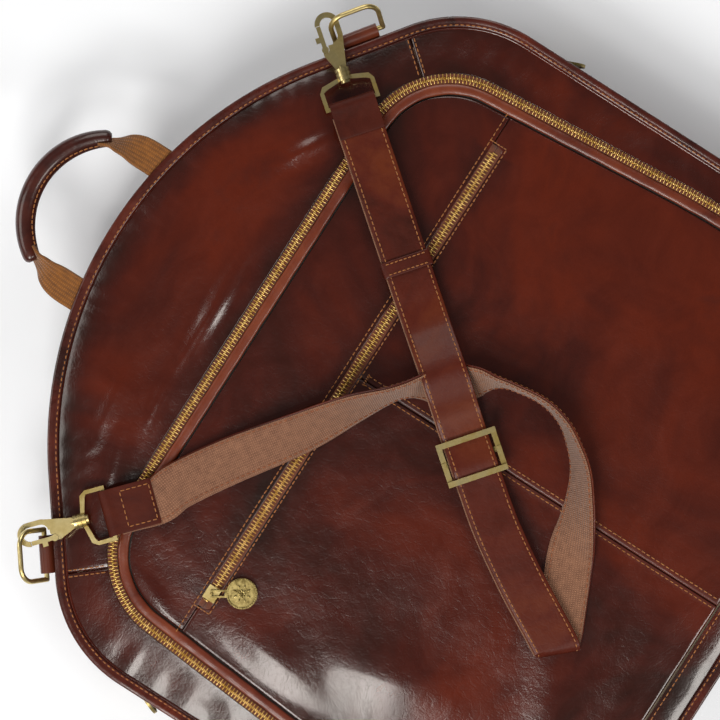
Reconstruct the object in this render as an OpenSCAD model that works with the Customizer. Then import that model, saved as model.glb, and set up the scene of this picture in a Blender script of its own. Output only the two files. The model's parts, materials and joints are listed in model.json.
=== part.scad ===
// Folding garment bag in leather: a rear half and a front half that meet at a soft spine,
// with side zips, a zipped front pocket, a shoulder strap on snap hooks and a carrying handle.
// Millimetres. The bag lies on its back: back face at Z = 0, handle towards +Y, front face up.

/* [Body] */
// Half of the width over the bound edge
half_w = 284; // [276:1:290]
// Height of the top of the arch above the front pocket zip
top_y = 211.6; // [206:0.2:216]
// Radius of the large arch at the top
arch_r = 304; // [296:1:312]
// Radius of the corner between shoulder and side
corner_r = 101; // [92:1:106]
// Slope of the straight shoulder, in degrees
shoulder_slope = 36.5; // [35:0.5:38]
// How far the bag reaches below the front pocket zip
bottom_drop = 348; // [342:1:356]
// Radius of the two bottom corners
bottom_r = 28; // [22:1:34]
// Height of the front face above the back face
body_h = 74; // [72:1:78]
// Width of the flat bound edge
binding_w = 8; // [6:0.5:9]

/* [Zips] */
// Width of a closed row of teeth
teeth_w = 6.7; // [6.2:0.1:7]
// Clear slot in the middle of a row, for the slider's post
teeth_slot = 1.0; // [0.8:0.1:1.2]
// Half length of the front pocket zip
pocket_zip_half = 198; // [190:1:202]
// Height of the top run of the big pocket zip above the small one
u_top = 90; // [86:1:94]
// Radius of the big zip's corners
u_r = 67; // [62:1:72]
// Half width of the big zip at its lower ends
u_half = 251.8; // [250:0.2:253]

/* [Strap] */
// Width of the shoulder strap
strap_w = 34; // [30:1:36]
// Thickness of each of its two layers
strap_t = 1.45; // [1.2:0.05:1.5]
// Place of the slide buckle, across and up
buckle_x = -5; // [-10:1:0]
buckle_y = -109.5; // [-114:0.5:-105]

/* [Hidden] */
$fn = 48;
e = 0.01;
fold_z = body_h / 2;
fold_gap = 0.8;
leather_t = 2;
panel_z = body_h - leather_t;
gusset_in = 10;
hinge_y = -bottom_drop - 1;

// Arcs of the outline. nrm is the angle of the shoulder's outward normal.
nrm = 90 - shoulder_slope;
arch_c = [0, top_y - arch_r];
corner_x = half_w - corner_r;
shoulder_d = arch_c[1] * sin(nrm) + arch_r;
corner_c = [corner_x, (shoulder_d - corner_r - corner_x * cos(nrm)) / sin(nrm)];
bottom_c = [half_w - bottom_r, -bottom_drop + bottom_r];
shoulder_end = corner_c + corner_r * [cos(nrm), sin(nrm)];

function arc(c, r, a0, a1, n) = [for (i = [0:n]) let (a = a0 + (a1 - a0) * i / n) c + r * [cos(a), sin(a)]];
function mirrored(p) = [for (i = [len(p) - 1:-1:0]) [-p[i][0], p[i][1]]];
function both_sides(right) = concat(right, mirrored(right));

// Outer edge of the bag, moved inwards by d
function outline(d) = both_sides(concat(
    arc(arch_c, arch_r - d, 89.9, nrm, 12),
    arc(corner_c, corner_r - d, nrm - 4, 0, 12),
    arc(bottom_c, bottom_r - d, 0, -90, 6)));

// Path of the big pocket zip, moved outwards by d, from the top middle to the lower right end
u_lean = 4.9;
u_kink_y = -150;
u_end_y = -318;
u_side = [u_half - (u_top - u_r + u_r * sin(u_lean) - u_kink_y) * tan(u_lean), u_top - u_r];
u_c = [u_side[0] - u_r * cos(u_lean), u_side[1]];
function u_right(d) = concat(
    arc(u_c, u_r + d, 90, u_lean, 12),
    [[u_half + d, u_kink_y + d * tan(u_lean / 2)], [u_half + d, u_end_y]]);
function u_shape(d) = both_sides(u_right(d));

// Point near the straight shoulder: t up along the edge, out away from the bag
function shoulder(side, t, out) = let (p = shoulder_end + t * [-sin(nrm), cos(nrm)] + out * [cos(nrm), sin(nrm)])
    [side * p[0], p[1]];

// Zip levels on the front face
teeth_z = body_h - 0.9;
teeth_h = 2.0;
pocket_zip_y = 2;

// Side zips, which stand on the sides of the bag
side_x = half_w - gusset_in - 0.5;
side_top = 22;
side_bottom = -bottom_drop + bottom_r + 2;
side_teeth_h = 2.2;
side_slider_y = [20, 10];

// Strap levels and its way over the front
run_low = body_h + 5.2;
run_high = run_low + 2 * strap_t + 3.2;
hook_z = [run_low + strap_t, run_high + strap_t];
buckle_at = [buckle_x, buckle_y];

// Strap rings in their leather loops, and the hooks that hold them. Index 0 is left, 1 is right.
ring_t = [18, 37];
ring_out = 6;
ring_z = body_h - 1.5;
ring_half = 18.5;
ring_depth = 28;
ring_wire = 1.9;
ring_tilt = 55;
hook_side = [-1, 1];
hook_reach = 34;
wire_off = -2;
function ring_cross(i) = shoulder(hook_side[i], ring_t[i] + ring_half, ring_out + (hook_z[i] - ring_z) / tan(ring_tilt));
hook_angle = [138, 51];
function along(a) = [cos(a), sin(a)];
function across(a) = [-sin(a), cos(a)];
function hook_root(i) = ring_cross(i) - hook_reach * along(hook_angle[i]) - wire_off * across(hook_angle[i]);

// Centre line of the strap: the leather run, then the run that comes back under it
bail_gap = 27;
run_a = [hook_root(1) - bail_gap * along(hook_angle[1]), buckle_at, [-34.8, -148], [-58.5, -185], [-84.4, -237.5]];
run_b = [[-84.4, -237.5], [-50, -218.6], [-26.3, -207.7], [13.1, -190], [33.4, -177.5], [48, -161.7], [57.4, -146.5],
    [61.7, -126.6], [58.7, -101.9], [50.5, -80], [37.5, -62.5], [25, -47.5], [5.3, -29.4], [-19.9, -10.4],
    [-54.2, 11.6], [-96, 40], hook_root(0) - bail_gap * along(hook_angle[0])];

// Outline of a flat strip of width w along a line of points
function unit(v) = v / norm(v);
function turn(v) = [-v[1], v[0]];
function dir_at(p, i) = unit(p[min(i + 1, len(p) - 1)] - p[max(i - 1, 0)]);
function strip(p, w) = concat(
    [for (i = [0:len(p) - 1]) p[i] + turn(dir_at(p, i)) * w / 2],
    [for (i = [len(p) - 1:-1:0]) p[i] - turn(dir_at(p, i)) * w / 2]);

leather = "#6b2a18";
leather_dark = "#4a1d13";
leather_light = "#9a4a22";
brass = "#b9a06a";
gold = "#c79a3a";
canvas = "#9a6f5e";
webbing = "#9c6a1f";
cloth = "#2e2622";
board = "#8a7a66";

// ---- shared shapes ----

module slab(points, z0, z1) { translate([0, 0, z0]) linear_extrude(z1 - z0) polygon(points); }

module edge_ring(d0, d1, z0, z1) {
    translate([0, 0, z0]) linear_extrude(z1 - z0) difference() { polygon(outline(d0)); polygon(outline(d1)); }
}

module block(x0, x1, y0, y1, z0, z1) { translate([x0, y0, z0]) cube([x1 - x0, y1 - y0, z1 - z0]); }

// Part of the plane above or below a level line
module above(y) { translate([-500, y]) square([1000, 600]); }
module below(y) { translate([-500, y - 600]) square([1000, 600]); }

// Slot outline with its two centres x0 and x1 on the X axis
module slot_2d(x0, x1, r) {
    translate([x0, -r]) square([x1 - x0, 2 * r]);
    translate([x0, 0]) circle(r);
    translate([x1, 0]) circle(r);
}

module rod(a, b, r) {
    v = b - a;
    translate(a) rotate([0, acos(v[2] / norm(v)), atan2(v[1], v[0])]) cylinder(h = norm(v), r = r);
}

// ---- rear half ----

module rear_panel() { color(leather) slab(outline(binding_w + 0.3), 0, leather_t); }

module rear_binding() { color(leather_dark) edge_ring(0, binding_w, 0, 3); }

module half_gusset() {
    color(leather_dark) {
        edge_ring(gusset_in, gusset_in + 2, leather_t + 0.2, fold_z - 6.5);
        translate([0, 0, fold_z - 6.6]) linear_extrude(6.6 - fold_gap) intersection() {
            difference() { polygon(outline(gusset_in)); polygon(outline(gusset_in + 2)); }
            above(side_top + 8);
        }
    }
}

module rear_gusset() { half_gusset(); }

module rear_stiffener() { color(board) slab(outline(gusset_in + 6), leather_t + 0.3, leather_t + 1.8); }

module rear_lining() { color(cloth) slab(outline(gusset_in + 3), leather_t + 2.1, leather_t + 3); }

// Tape and teeth of both side zips, rear half
module half_zip_tape() {
    color(cloth) for (s = [-1, 1]) scale([s, 1, 1])
        block(side_x, side_x + 1, side_bottom, side_top, fold_z - 6.2, fold_z - 1.2);
}

module half_zip_teeth() {
    color(gold) for (s = [-1, 1]) scale([s, 1, 1]) for (x = [side_x - 0.9, side_x + 1.1])
        block(x, x + 0.8, side_bottom, side_top, fold_z - fold_gap - side_teeth_h, fold_z - fold_gap);
}

module rear_zip_tape() { half_zip_tape(); }
module rear_zip_teeth() { half_zip_teeth(); }

module spine() {
    color(leather_dark) block(-half_w + bottom_r + 6, half_w - bottom_r - 6, -bottom_drop + 6.2, -bottom_drop + 8.6,
        3.3, fold_z - fold_gap);
}

// Hanger fitting inside the rear half: a plate with two ears and a pin, and the clamp that turns on it
clamp_at = [0, 158, leather_t + 10];

module hanger_bracket() {
    color(brass) {
        difference() {
            block(-22, 22, clamp_at[1] - 12, clamp_at[1] + 12, leather_t + 3.2, leather_t + 4.8);
            for (s = [-1, 1]) translate([s * 18, clamp_at[1], 0]) cylinder(h = 20, r = 1.6);
        }
        for (s = [-1, 1]) translate([s * 12, 0, 0]) difference() {
            union() {
                block(-1, 1, clamp_at[1] - 4, clamp_at[1] + 4, leather_t + 4.7, clamp_at[2]);
                translate([-1, clamp_at[1], clamp_at[2]]) rotate([0, 90, 0]) cylinder(h = 2, r = 4);
            }
        }
        rod(clamp_at - [14.5, 0, 0], clamp_at + [14.5, 0, 0], 1.5);
    }
}

module hanger_clamp() {
    color(brass) difference() {
        union() {
            rod(clamp_at - [10.5, 0, 0], clamp_at + [10.5, 0, 0], 3.4);
            block(-10.5, 10.5, clamp_at[1] - 34, clamp_at[1], clamp_at[2] + 1.2, clamp_at[2] + 3.4);
            block(-10.5, 10.5, clamp_at[1] - 34, clamp_at[1] - 31.5, clamp_at[2] - 4, clamp_at[2] + 3.4);
        }
        rod(clamp_at - [20, 0, 0], clamp_at + [20, 0, 0], 1.55);
    }
}

garment_strap_y = [30, -170];

module garment_straps() {
    color(cloth) for (y = garment_strap_y) for (s = [-1, 1])
        block(s > 0 ? 16 : -225, s > 0 ? 225 : -16, y, y + 25, leather_t + 3.3, leather_t + 4.8);
}

module garment_strap_buckles() {
    color(cloth) for (y = garment_strap_y) translate([0, y + 12.5, leather_t + 3.3]) difference() {
        translate([-15.5, -15.5, 0]) cube([31, 31, 5]);
        for (s = [-1, 1]) translate([s * 4.75 - 2.75, -13, -1]) cube([5.5, 26, 7]);
    }
}

// ---- front half ----

module mirror_half() { translate([0, 0, body_h]) mirror([0, 0, 1]) children(); }

// Leather around the big pocket, cut at the two shoulder seams
seam_y = 82;
seam_gap = 0.4;

module border_2d() {
    difference() {
        polygon(outline(binding_w + 0.3));
        polygon(u_shape(teeth_w / 2 + 0.5));
        below(u_end_y - 1);
    }
}

module seam_cut() {
    translate([u_c[0], u_c[1]]) rotate(nrm - 4) translate([0, -seam_gap / 2]) square([300, seam_gap]);
}

module top_side_2d() { polygon([u_c, u_c + 400 * along(nrm - 4), [500, 600], [-500, 600], [-u_c[0], 600],
    [-u_c[0], u_c[1]] + 400 * [-cos(nrm - 4), sin(nrm - 4)], [-u_c[0], u_c[1]]]); }

module front_top_panel() {
    color(leather) translate([0, 0, panel_z]) linear_extrude(leather_t) difference() {
        intersection() { border_2d(); top_side_2d(); }
        for (m = [0, 1]) mirror([m, 0]) seam_cut();
    }
}

module front_side_panel(s) {
    color(leather) translate([0, 0, panel_z]) linear_extrude(leather_t) intersection() {
        difference() {
            border_2d();
            top_side_2d();
            for (m = [0, 1]) mirror([m, 0]) seam_cut();
        }
        scale([s, 1]) translate([10, -500]) square([500, 1000]);
    }
}

module front_left_panel() { front_side_panel(-1); }
module front_right_panel() { front_side_panel(1); }

module front_bottom_strip() {
    color(leather) translate([0, 0, panel_z]) linear_extrude(leather_t) intersection() {
        polygon(outline(binding_w + 0.3));
        below(u_end_y - 1.4);
    }
}

// The big pocket's face: a yoke over the pocket zip and two panels that meet at a middle seam
welt_w = 8;
pocket_in = teeth_w / 2 + 0.5 + welt_w + 1.2;
slot_top = pocket_zip_y + 4.2;
slot_low = pocket_zip_y - 4.2;

module pocket_2d() { polygon(u_shape(-pocket_in)); }

module pocket_yoke() {
    color(leather) translate([0, 0, panel_z]) linear_extrude(leather_t) intersection() { pocket_2d(); above(slot_top); }
}

module pocket_lower(s) {
    color(leather) translate([0, 0, panel_z]) linear_extrude(leather_t) difference() {
        intersection() {
            pocket_2d();
            below(slot_top - 0.4);
            scale([s, 1]) translate([0.25, -600]) square([500, 1200]);
        }
        translate([-pocket_zip_half - 5, slot_low]) square([2 * pocket_zip_half + 10, 40]);
    }
}

module pocket_left_panel() { pocket_lower(-1); }
module pocket_right_panel() { pocket_lower(1); }

module pocket_backing() { color(cloth) slab(u_shape(-4), panel_z - 1.1, panel_z - 0.3); }

// Two strips of teeth on each side of a middle slot, along the big zip's path
module u_band(d0, d1, z0, z1) {
    translate([0, 0, z0]) linear_extrude(z1 - z0) difference() {
        polygon(u_shape(d1));
        polygon(concat([for (p = u_shape(d0)) [p[0], p[1] < u_end_y + e ? p[1] - 5 : p[1]]]));
    }
}

module big_zip_teeth() {
    color(gold) {
        u_band(teeth_slot / 2, teeth_w / 2, teeth_z, teeth_z + teeth_h);
        u_band(-teeth_w / 2, -teeth_slot / 2, teeth_z, teeth_z + teeth_h);
    }
}

module big_zip_welt() {
    color(leather_light) u_band(-teeth_w / 2 - 0.5 - welt_w, -teeth_w / 2 - 0.5, panel_z + 0.3, body_h + 1);
}

module pocket_zip_tape() {
    color(cloth) for (s = [-1, 1]) translate([0, pocket_zip_y + s * 2.35, 0])
        block(-pocket_zip_half - 4, pocket_zip_half + 4, -1.8, 1.8, panel_z, panel_z + 0.7);
}

module pocket_zip_teeth() {
    color(gold) for (s = [-1, 1]) translate([0, pocket_zip_y + s * (teeth_slot + teeth_w) / 4])
        block(-pocket_zip_half, pocket_zip_half, -(teeth_w - teeth_slot) / 4, (teeth_w - teeth_slot) / 4,
            teeth_z, teeth_z + teeth_h);
}

module front_gusset() { mirror_half() half_gusset(); }
module front_binding() { color(leather_dark) edge_ring(0, binding_w, body_h - 3, body_h); }

module front_stiffener() { color(board) slab(outline(gusset_in + 6), panel_z - 3.0, panel_z - 1.5); }
module front_lining() { color(cloth) slab(outline(gusset_in + 3), panel_z - 4.1, panel_z - 3.3); }
module front_zip_tape() { mirror_half() half_zip_tape(); }
module front_zip_teeth() { mirror_half() half_zip_teeth(); }

// Leather loops that hold the strap rings, sewn under the bound edge
loop_half = 14;

module ring_frame(i) {
    p = shoulder(hook_side[i], ring_t[i], ring_out);
    translate([p[0], p[1], ring_z]) rotate([0, 0, hook_side[i] * (nrm - 90)]) children();
}

module ring_loops() {
    color(leather) for (i = [0, 1]) ring_frame(i) {
        difference() {
            rotate([0, 90, 0]) cylinder(h = 2 * loop_half, r = 4.2, center = true);
            rotate([0, 90, 0]) cylinder(h = 2 * loop_half + 2, r = ring_wire + 0.3, center = true);
        }
        translate([-loop_half, -ring_out - 8, -4.2]) cube([2 * loop_half, ring_out + 8, 1.9]);
    }
}

// Zipped pocket on the front half's lining
inner_y = -60;
inner_z = panel_z - 4.4;

module inner_pocket() {
    color(cloth) {
        block(-200, 200, -300, inner_y - 5, inner_z - 1.5, inner_z);
        block(-200, 200, inner_y + 5, inner_y + 15, inner_z - 1.5, inner_z);
    }
}

module inner_zip_teeth() {
    color(brass) for (s = [-1, 1]) translate([0, inner_y + s * 2, 0]) block(-195, 195, -1.4, 1.4, inner_z - 2.4, inner_z - 0.8);
}

// ---- sliders and pullers ----
// Built lying flat with travel along X, teeth centred on Z = 0, pull side up.

slider_len = 11;
pin_r = 0.45;
pin_h = 0.9;

// pull is the angle, seen from above, at which the puller lies
module slider(teeth_half, slot_half, teeth_half_h, pull) {
    gap = teeth_half_h + 0.3;
    translate([-slider_len / 2, -teeth_half - 1.6, gap]) cube([slider_len, 2 * teeth_half + 3.2, 1.3]);
    translate([-slider_len / 2, -slot_half + 0.15, 0.15 - gap]) cube([3, 2 * slot_half - 0.3, 2 * gap]);
    translate([0, 0, gap + 1.3]) rotate(pull) lug();
}

// Upright ear with a hole for the puller's pin, standing on a slider
module lug() {
    difference() {
        union() {
            translate([0, 0, pin_h]) rotate([90, 0, 0]) cylinder(h = 1.2, r = 1.2, center = true);
            translate([-1.2, -0.6, -0.2]) cube([2.4, 1.2, pin_h + 0.2]);
        }
        translate([0, 0, pin_h]) rotate([90, 0, 0]) cylinder(h = 5, r = pin_r + 0.08, center = true);
    }
}

// Two arms with a pin between them, which hold the ear; the pin is at the origin and X points away
arm_len = 11.4;

module fork() {
    translate([0, 0, -0.5]) linear_extrude(1) difference() {
        translate([0, -2.9]) square([arm_len, 5.8]);
        translate([-1, -1.6]) square([arm_len - 0.8, 3.2]);
    }
    rotate([90, 0, 0]) cylinder(h = 4, r = pin_r, center = true);
    for (s = [-1, 1]) translate([0, s * 2.25, 0]) rotate([90, 0, 0]) cylinder(h = 1.3, r = 0.7, center = true);
}

// Puller: the fork and a round medallion with a rim and a ring of raised dots
medal_r = 11.5;

module puller() {
    fork();
    translate([arm_len + medal_r - 0.6, 0, -1.1]) {
        cylinder(h = 1.7, r = medal_r);
        difference() {
            cylinder(h = 2.2, r = medal_r);
            translate([0, 0, -1]) cylinder(h = 4, r = medal_r - 1.3);
        }
        for (i = [0:11]) rotate(i * 30) translate([medal_r - 3.2, 0, 1.6]) cylinder(h = 0.5, r = 0.6, $fn = 16);
        cylinder(h = 2.2, r = 3.4);
    }
}

pull_z = teeth_z + teeth_h + 0.3 + 1.3 + pin_h;
pocket_slider_at = [pocket_zip_half * -1 + 8, pocket_zip_y];
pocket_pull = -57;
big_slider_at = [u_half, u_end_y + 20];
big_pull = 120;

module front_slider(at, travel, pull) {
    color(brass) translate([at[0], at[1], teeth_z + teeth_h / 2]) rotate(travel)
        slider(teeth_w / 2, teeth_slot / 2, teeth_h / 2, pull - travel);
}

module front_puller(at, pull) { color(brass) translate([at[0], at[1], pull_z]) rotate(pull) puller(); }

module pocket_slider() { front_slider(pocket_slider_at, 0, pocket_pull); }
module pocket_puller() { front_puller(pocket_slider_at, pocket_pull); }
module big_slider() { front_slider(big_slider_at, 90, big_pull); }
module big_puller() { front_puller(big_slider_at, big_pull); }

// Frame on a side zip: X along +Y of the bag, Z out of the bag's side
module side_frame(i) {
    translate([hook_side[i] * (side_x + 0.5), side_slider_y[i], fold_z])
        rotate([0, hook_side[i] * 90, 0]) rotate(90) children();
}

// Side sliders hold the rear row of teeth on both sides, and only face the front row
side_plate = [1.7, 3.0];

module side_slider(i) {
    half = fold_gap + side_teeth_h;
    rim_y = hook_side[i] < 0 ? half + 0.4 : -half - 1.8;
    color(brass) side_frame(i) {
        for (m = [0, 1]) mirror([0, 0, m]) {
            translate([-slider_len / 2, -half - 1.8, side_plate[0]])
                cube([slider_len, 2 * half + 3.6, side_plate[1] - side_plate[0]]);
            translate([-slider_len / 2, rim_y, 0.9]) cube([slider_len, 1.4, side_plate[0] - 0.85]);
        }
        translate([-slider_len / 2, -0.5, -side_plate[0] - 0.1]) cube([3, 1, 2 * side_plate[0] + 0.2]);
        translate([0, 0, side_plate[1]]) lug();
    }
}

// How far the side pullers stand away from the bag at rest, in degrees
side_pull = 24;

module side_puller(i) {
    color(brass) side_frame(i) translate([0, 0, side_plate[1] + pin_h]) rotate([0, side_pull - 180, 0]) puller();
}

module left_side_slider() { side_slider(0); }
module right_side_slider() { side_slider(1); }
module left_side_puller() { side_puller(0); }
module right_side_puller() { side_puller(1); }

inner_slider_at = [-185, inner_y, inner_z - 1.6];

module inner_slider() {
    color(brass) translate(inner_slider_at) mirror([0, 0, 1]) slider(3.4, 0.6, 0.8, 0);
}

module inner_puller() {
    color(brass) translate([inner_slider_at[0], inner_y, inner_slider_at[2] - 2.4 - pin_h]) {
        fork();
        translate([arm_len - 0.6, -2.9, -0.5]) cube([10, 5.8, 1]);
    }
}

// ---- handle ----

handle_foot = 57;
handle_z = body_h - 1.5;
handle_hinge_y = top_y + 0.5;

module handle_webbing() {
    color(webbing) for (s = [-1, 1]) scale([s, 1, 1]) slab([[handle_foot - 13, handle_hinge_y + 0.8],
        [handle_foot + 13, handle_hinge_y + 0.8], [handle_foot + 9, handle_hinge_y + 22],
        [handle_foot - 3.4, handle_hinge_y + 33.4], [handle_foot - 10, handle_hinge_y + 29.2]],
        handle_z - 1, handle_z + 1);
}

// The rolled grip: an arc between the two feet
grip_r = 64;
grip_c = [0, handle_hinge_y + 0.4];

module handle_grip() {
    color(leather_dark) translate([0, grip_c[1], handle_z]) rotate(32) rotate_extrude(angle = 116)
        translate([grip_r, 0]) circle(7);
}

// ---- strap rings ----

module ring(i) {
    bend = 11;
    color(brass) ring_frame(i) rotate([ring_tilt, 0, 0]) {
        rotate([0, 90, 0]) cylinder(h = 2 * ring_half, r = ring_wire, center = true);
        for (s = [-1, 1]) {
            translate([s * ring_half, 0, 0]) {
                sphere(ring_wire);
                rotate([-90, 0, 0]) cylinder(h = ring_depth - bend, r = ring_wire);
            }
            translate([s * (ring_half - bend), ring_depth - bend, 0]) rotate(s > 0 ? 0 : 90)
                rotate_extrude(angle = 90) translate([bend, 0]) circle(ring_wire);
        }
        translate([0, ring_depth, 0]) rotate([0, 90, 0])
            cylinder(h = 2 * (ring_half - bend), r = ring_wire, center = true);
    }
}

module left_ring() { ring(0); }
module right_ring() { ring(1); }

// ---- snap hooks: X runs from the swivel to the eye, the gate is on the +Y side ----

barrel_r = 5.4;
barrel_len = 9;
stem_r = 2;
eye_r = 5.2;
claw_w = 3.8;
claw_t = 3.6;
eye_x = [hook_reach - 4.5, hook_reach + 4.5];
gate_pivot = [21, eye_r + 1.6];

module hook_frame(i) {
    p = hook_root(i);
    translate([p[0], p[1], hook_z[i]]) rotate(hook_angle[i]) children();
}

// Side view of the swivel barrel: three ribs around a bore for the hook's stem
module barrel_profile() {
    difference() {
        union() {
            translate([0, -barrel_len / 2]) square([barrel_r - 0.7, barrel_len]);
            for (k = [0:2]) translate([0, -barrel_len / 2 + k * 3.3]) square([barrel_r, 2.4]);
        }
        translate([-1, -barrel_len]) square([stem_r + 1.05, 2 * barrel_len]);
    }
}

// Outline of the bail's wire loop, whose far bar the strap's end folds round
function bail_outline(d) = let (b = strap_w / 2 + 2.4 + d)
    [[-3 + d, -4], [-3 + d, 4], [-6 + d, b - 3], [-9, b], [-22 - d, b], [-22 - d, -b], [-9, -b], [-6 + d, 3 - b]];

module bail(i) {
    color(brass) hook_frame(i) {
        rotate([0, 90, 0]) rotate_extrude() barrel_profile();
        translate([0, 0, -1.5]) linear_extrude(3) difference() {
            polygon(bail_outline(1.5));
            polygon(bail_outline(-1.5));
            translate([-barrel_len / 2, -stem_r - 1]) square([barrel_len, 2 * stem_r + 2]);
        }
    }
}

module left_hook_bail() { bail(0); }
module right_hook_bail() { bail(1); }

module hook(i) {
    color(brass) hook_frame(i) {
        translate([-barrel_len / 2 - 2, 0, 0]) rotate([0, 90, 0]) cylinder(h = 1.8, r = 3.6);
        translate([-barrel_len / 2 - 1, 0, 0]) rotate([0, 90, 0]) cylinder(h = barrel_len + 3, r = stem_r);
        translate([0, 0, -claw_t / 2]) linear_extrude(claw_t) difference() {
            union() {
                slot_2d(eye_x[0], eye_x[1], eye_r + claw_w);
                polygon([[barrel_len / 2 + 0.4, -4], [eye_x[0], -eye_r - claw_w], [eye_x[0], eye_r - 1],
                    [gate_pivot[0] + 2, gate_pivot[1] + 2.2], [gate_pivot[0] - 4, gate_pivot[1] + 2.2],
                    [barrel_len / 2 + 0.4, 4]]);
            }
            slot_2d(eye_x[0], eye_x[1], eye_r);
            translate([gate_pivot[0] + 2.3, 0]) square([eye_x[1] - gate_pivot[0] - 1.5, 30]);
            translate(gate_pivot) circle(2.9);
            translate(gate_pivot) translate([0, -2.9]) square([10, 5.8]);
        }
        translate([gate_pivot[0], gate_pivot[1], -claw_t / 2]) cylinder(h = claw_t, r = 1.0);
    }
}

module left_hook() { hook(0); }
module right_hook() { hook(1); }

module gate(i) {
    color(brass) hook_frame(i) difference() {
        union() {
            translate([gate_pivot[0], gate_pivot[1], -1.5]) cylinder(h = 3, r = 2.6);
            translate([gate_pivot[0], gate_pivot[1] - 1.6, -1.5]) cube([eye_x[1] - gate_pivot[0] + 0.2, 3.2, 3]);
            translate([gate_pivot[0] + 6, gate_pivot[1] + 1.5, -1.5]) cube([4, 3.2, 3]);
        }
        translate([gate_pivot[0], gate_pivot[1], -5]) cylinder(h = 10, r = 1.05);
    }
}

module left_hook_gate() { gate(0); }
module right_hook_gate() { gate(1); }

// ---- shoulder strap: a leather face sewn to canvas webbing, turned over at the low end ----

fold_dir = unit(run_a[4] - run_a[3]);
fold_turn = atan2(fold_dir[1], fold_dir[0]) - 9;

module fold_wall(near, far, z0, z1) {
    translate([run_a[4][0], run_a[4][1], z0]) rotate(fold_turn) translate([near, -strap_w / 2])
        cube([far - near, strap_w, z1 - z0]);
}

// A run of the strap, cut off at a distance past the fold
module run_to_fold(run, past, z0) {
    translate([0, 0, z0]) linear_extrude(strap_t) intersection() {
        polygon(strip(run, strap_w));
        translate(run_a[4]) rotate(fold_turn) translate([past - 800, -500]) square([800, 1000]);
    }
}

module strap_leather() {
    color(leather) {
        run_to_fold(run_a, 3.3, run_high + strap_t + 0.05);
        run_to_fold(run_b, 3.3, run_low);
        fold_wall(-1, 3.3, run_low, run_low + strap_t);
        fold_wall(-1, 3.3, run_high + strap_t + 0.05, run_high + 2 * strap_t + 0.05);
        fold_wall(1.8, 3.3, run_low, run_high + 2 * strap_t + 0.05);
    }
}

module strap_webbing() {
    color(canvas) {
        run_to_fold(run_a, 1.7, run_high);
        run_to_fold(run_b, 1.7, run_low + strap_t + 0.05);
        fold_wall(-1, 1.7, run_high, run_high + strap_t);
        fold_wall(-1, 1.7, run_low + strap_t + 0.05, run_low + 2 * strap_t + 0.05);
        fold_wall(0.2, 1.7, run_low + strap_t + 0.05, run_high + strap_t);
    }
}

tab_end = run_b[len(run_b) - 1];
tab_dir = run_b[len(run_b) - 2] - tab_end;
tab_len = 30;

module strap_tab() {
    color(leather_dark) translate([tab_end[0], tab_end[1], run_low + 2 * strap_t + 0.1])
        rotate(atan2(tab_dir[1], tab_dir[0])) translate([0, -strap_w / 2, 0]) cube([tab_len, strap_w, 1.4]);
}

// Rectangle of bars around the strap at a place on its straight run
module on_run(back) {
    d = unit(run_a[0] - buckle_at);
    translate([buckle_at[0] + back * d[0], buckle_at[1] + back * d[1], run_high + strap_t])
        rotate(atan2(d[1], d[0])) children();
}

keeper_at = 156;

module strap_keeper() {
    inner = [strap_w + 1.2, 2 * strap_t + 0.9];
    color(leather_dark) on_run(keeper_at) rotate([0, 90, 0]) translate([0, 0, -6]) linear_extrude(12) difference() {
        square([inner[1] + 2.4, inner[0] + 2.8], center = true);
        square([inner[1] - 0.1, inner[0]], center = true);
    }
}

module strap_buckle() {
    half_l = 16.5;
    half_b = strap_w / 2 + 6;
    color(brass) on_run(6) {
        for (s = [-1, 1]) {
            translate([s * (half_l - 2.1) - 2.1, -half_b, strap_t + 0.4]) cube([4.2, 2 * half_b, 2.4]);
            translate([-half_l, s * (half_b - 2) - 2, -strap_t - 0.4 + 2.25]) cube([2 * half_l, 4, strap_t + 0.55]);
            translate([-2, s * (half_b - 1.6) - 1.6, -strap_t - 2.2]) cube([4, 3.2, 2 * strap_t + 4]);
        }
        translate([-2, -half_b, -strap_t - 2.2]) cube([4, 2 * half_b, 1.8]);
    }
}

rear_panel();
rear_binding();
rear_gusset();
rear_stiffener();
rear_lining();
rear_zip_tape();
rear_zip_teeth();
spine();
hanger_bracket();
hanger_clamp();
garment_straps();
garment_strap_buckles();
front_top_panel();
front_left_panel();
front_right_panel();
front_bottom_strip();
pocket_yoke();
pocket_left_panel();
pocket_right_panel();
pocket_backing();
big_zip_teeth();
big_zip_welt();
pocket_zip_tape();
pocket_zip_teeth();
front_gusset();
front_binding();
front_stiffener();
front_lining();
front_zip_tape();
front_zip_teeth();
ring_loops();
inner_pocket();
inner_zip_teeth();
inner_slider();
inner_puller();
handle_webbing();
handle_grip();
left_ring();
right_ring();
strap_leather();
strap_webbing();
strap_tab();
strap_keeper();
strap_buckle();
left_hook_bail();
right_hook_bail();
left_hook();
right_hook();
left_hook_gate();
right_hook_gate();
pocket_slider();
pocket_puller();
big_slider();
big_puller();
left_side_slider();
left_side_puller();
right_side_slider();
right_side_puller();
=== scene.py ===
"""Looks of the folding leather garment bag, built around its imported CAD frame."""
import json
import math
import random

import bpy
import bmesh
import numpy as np
from mathutils import Matrix, Vector


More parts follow.
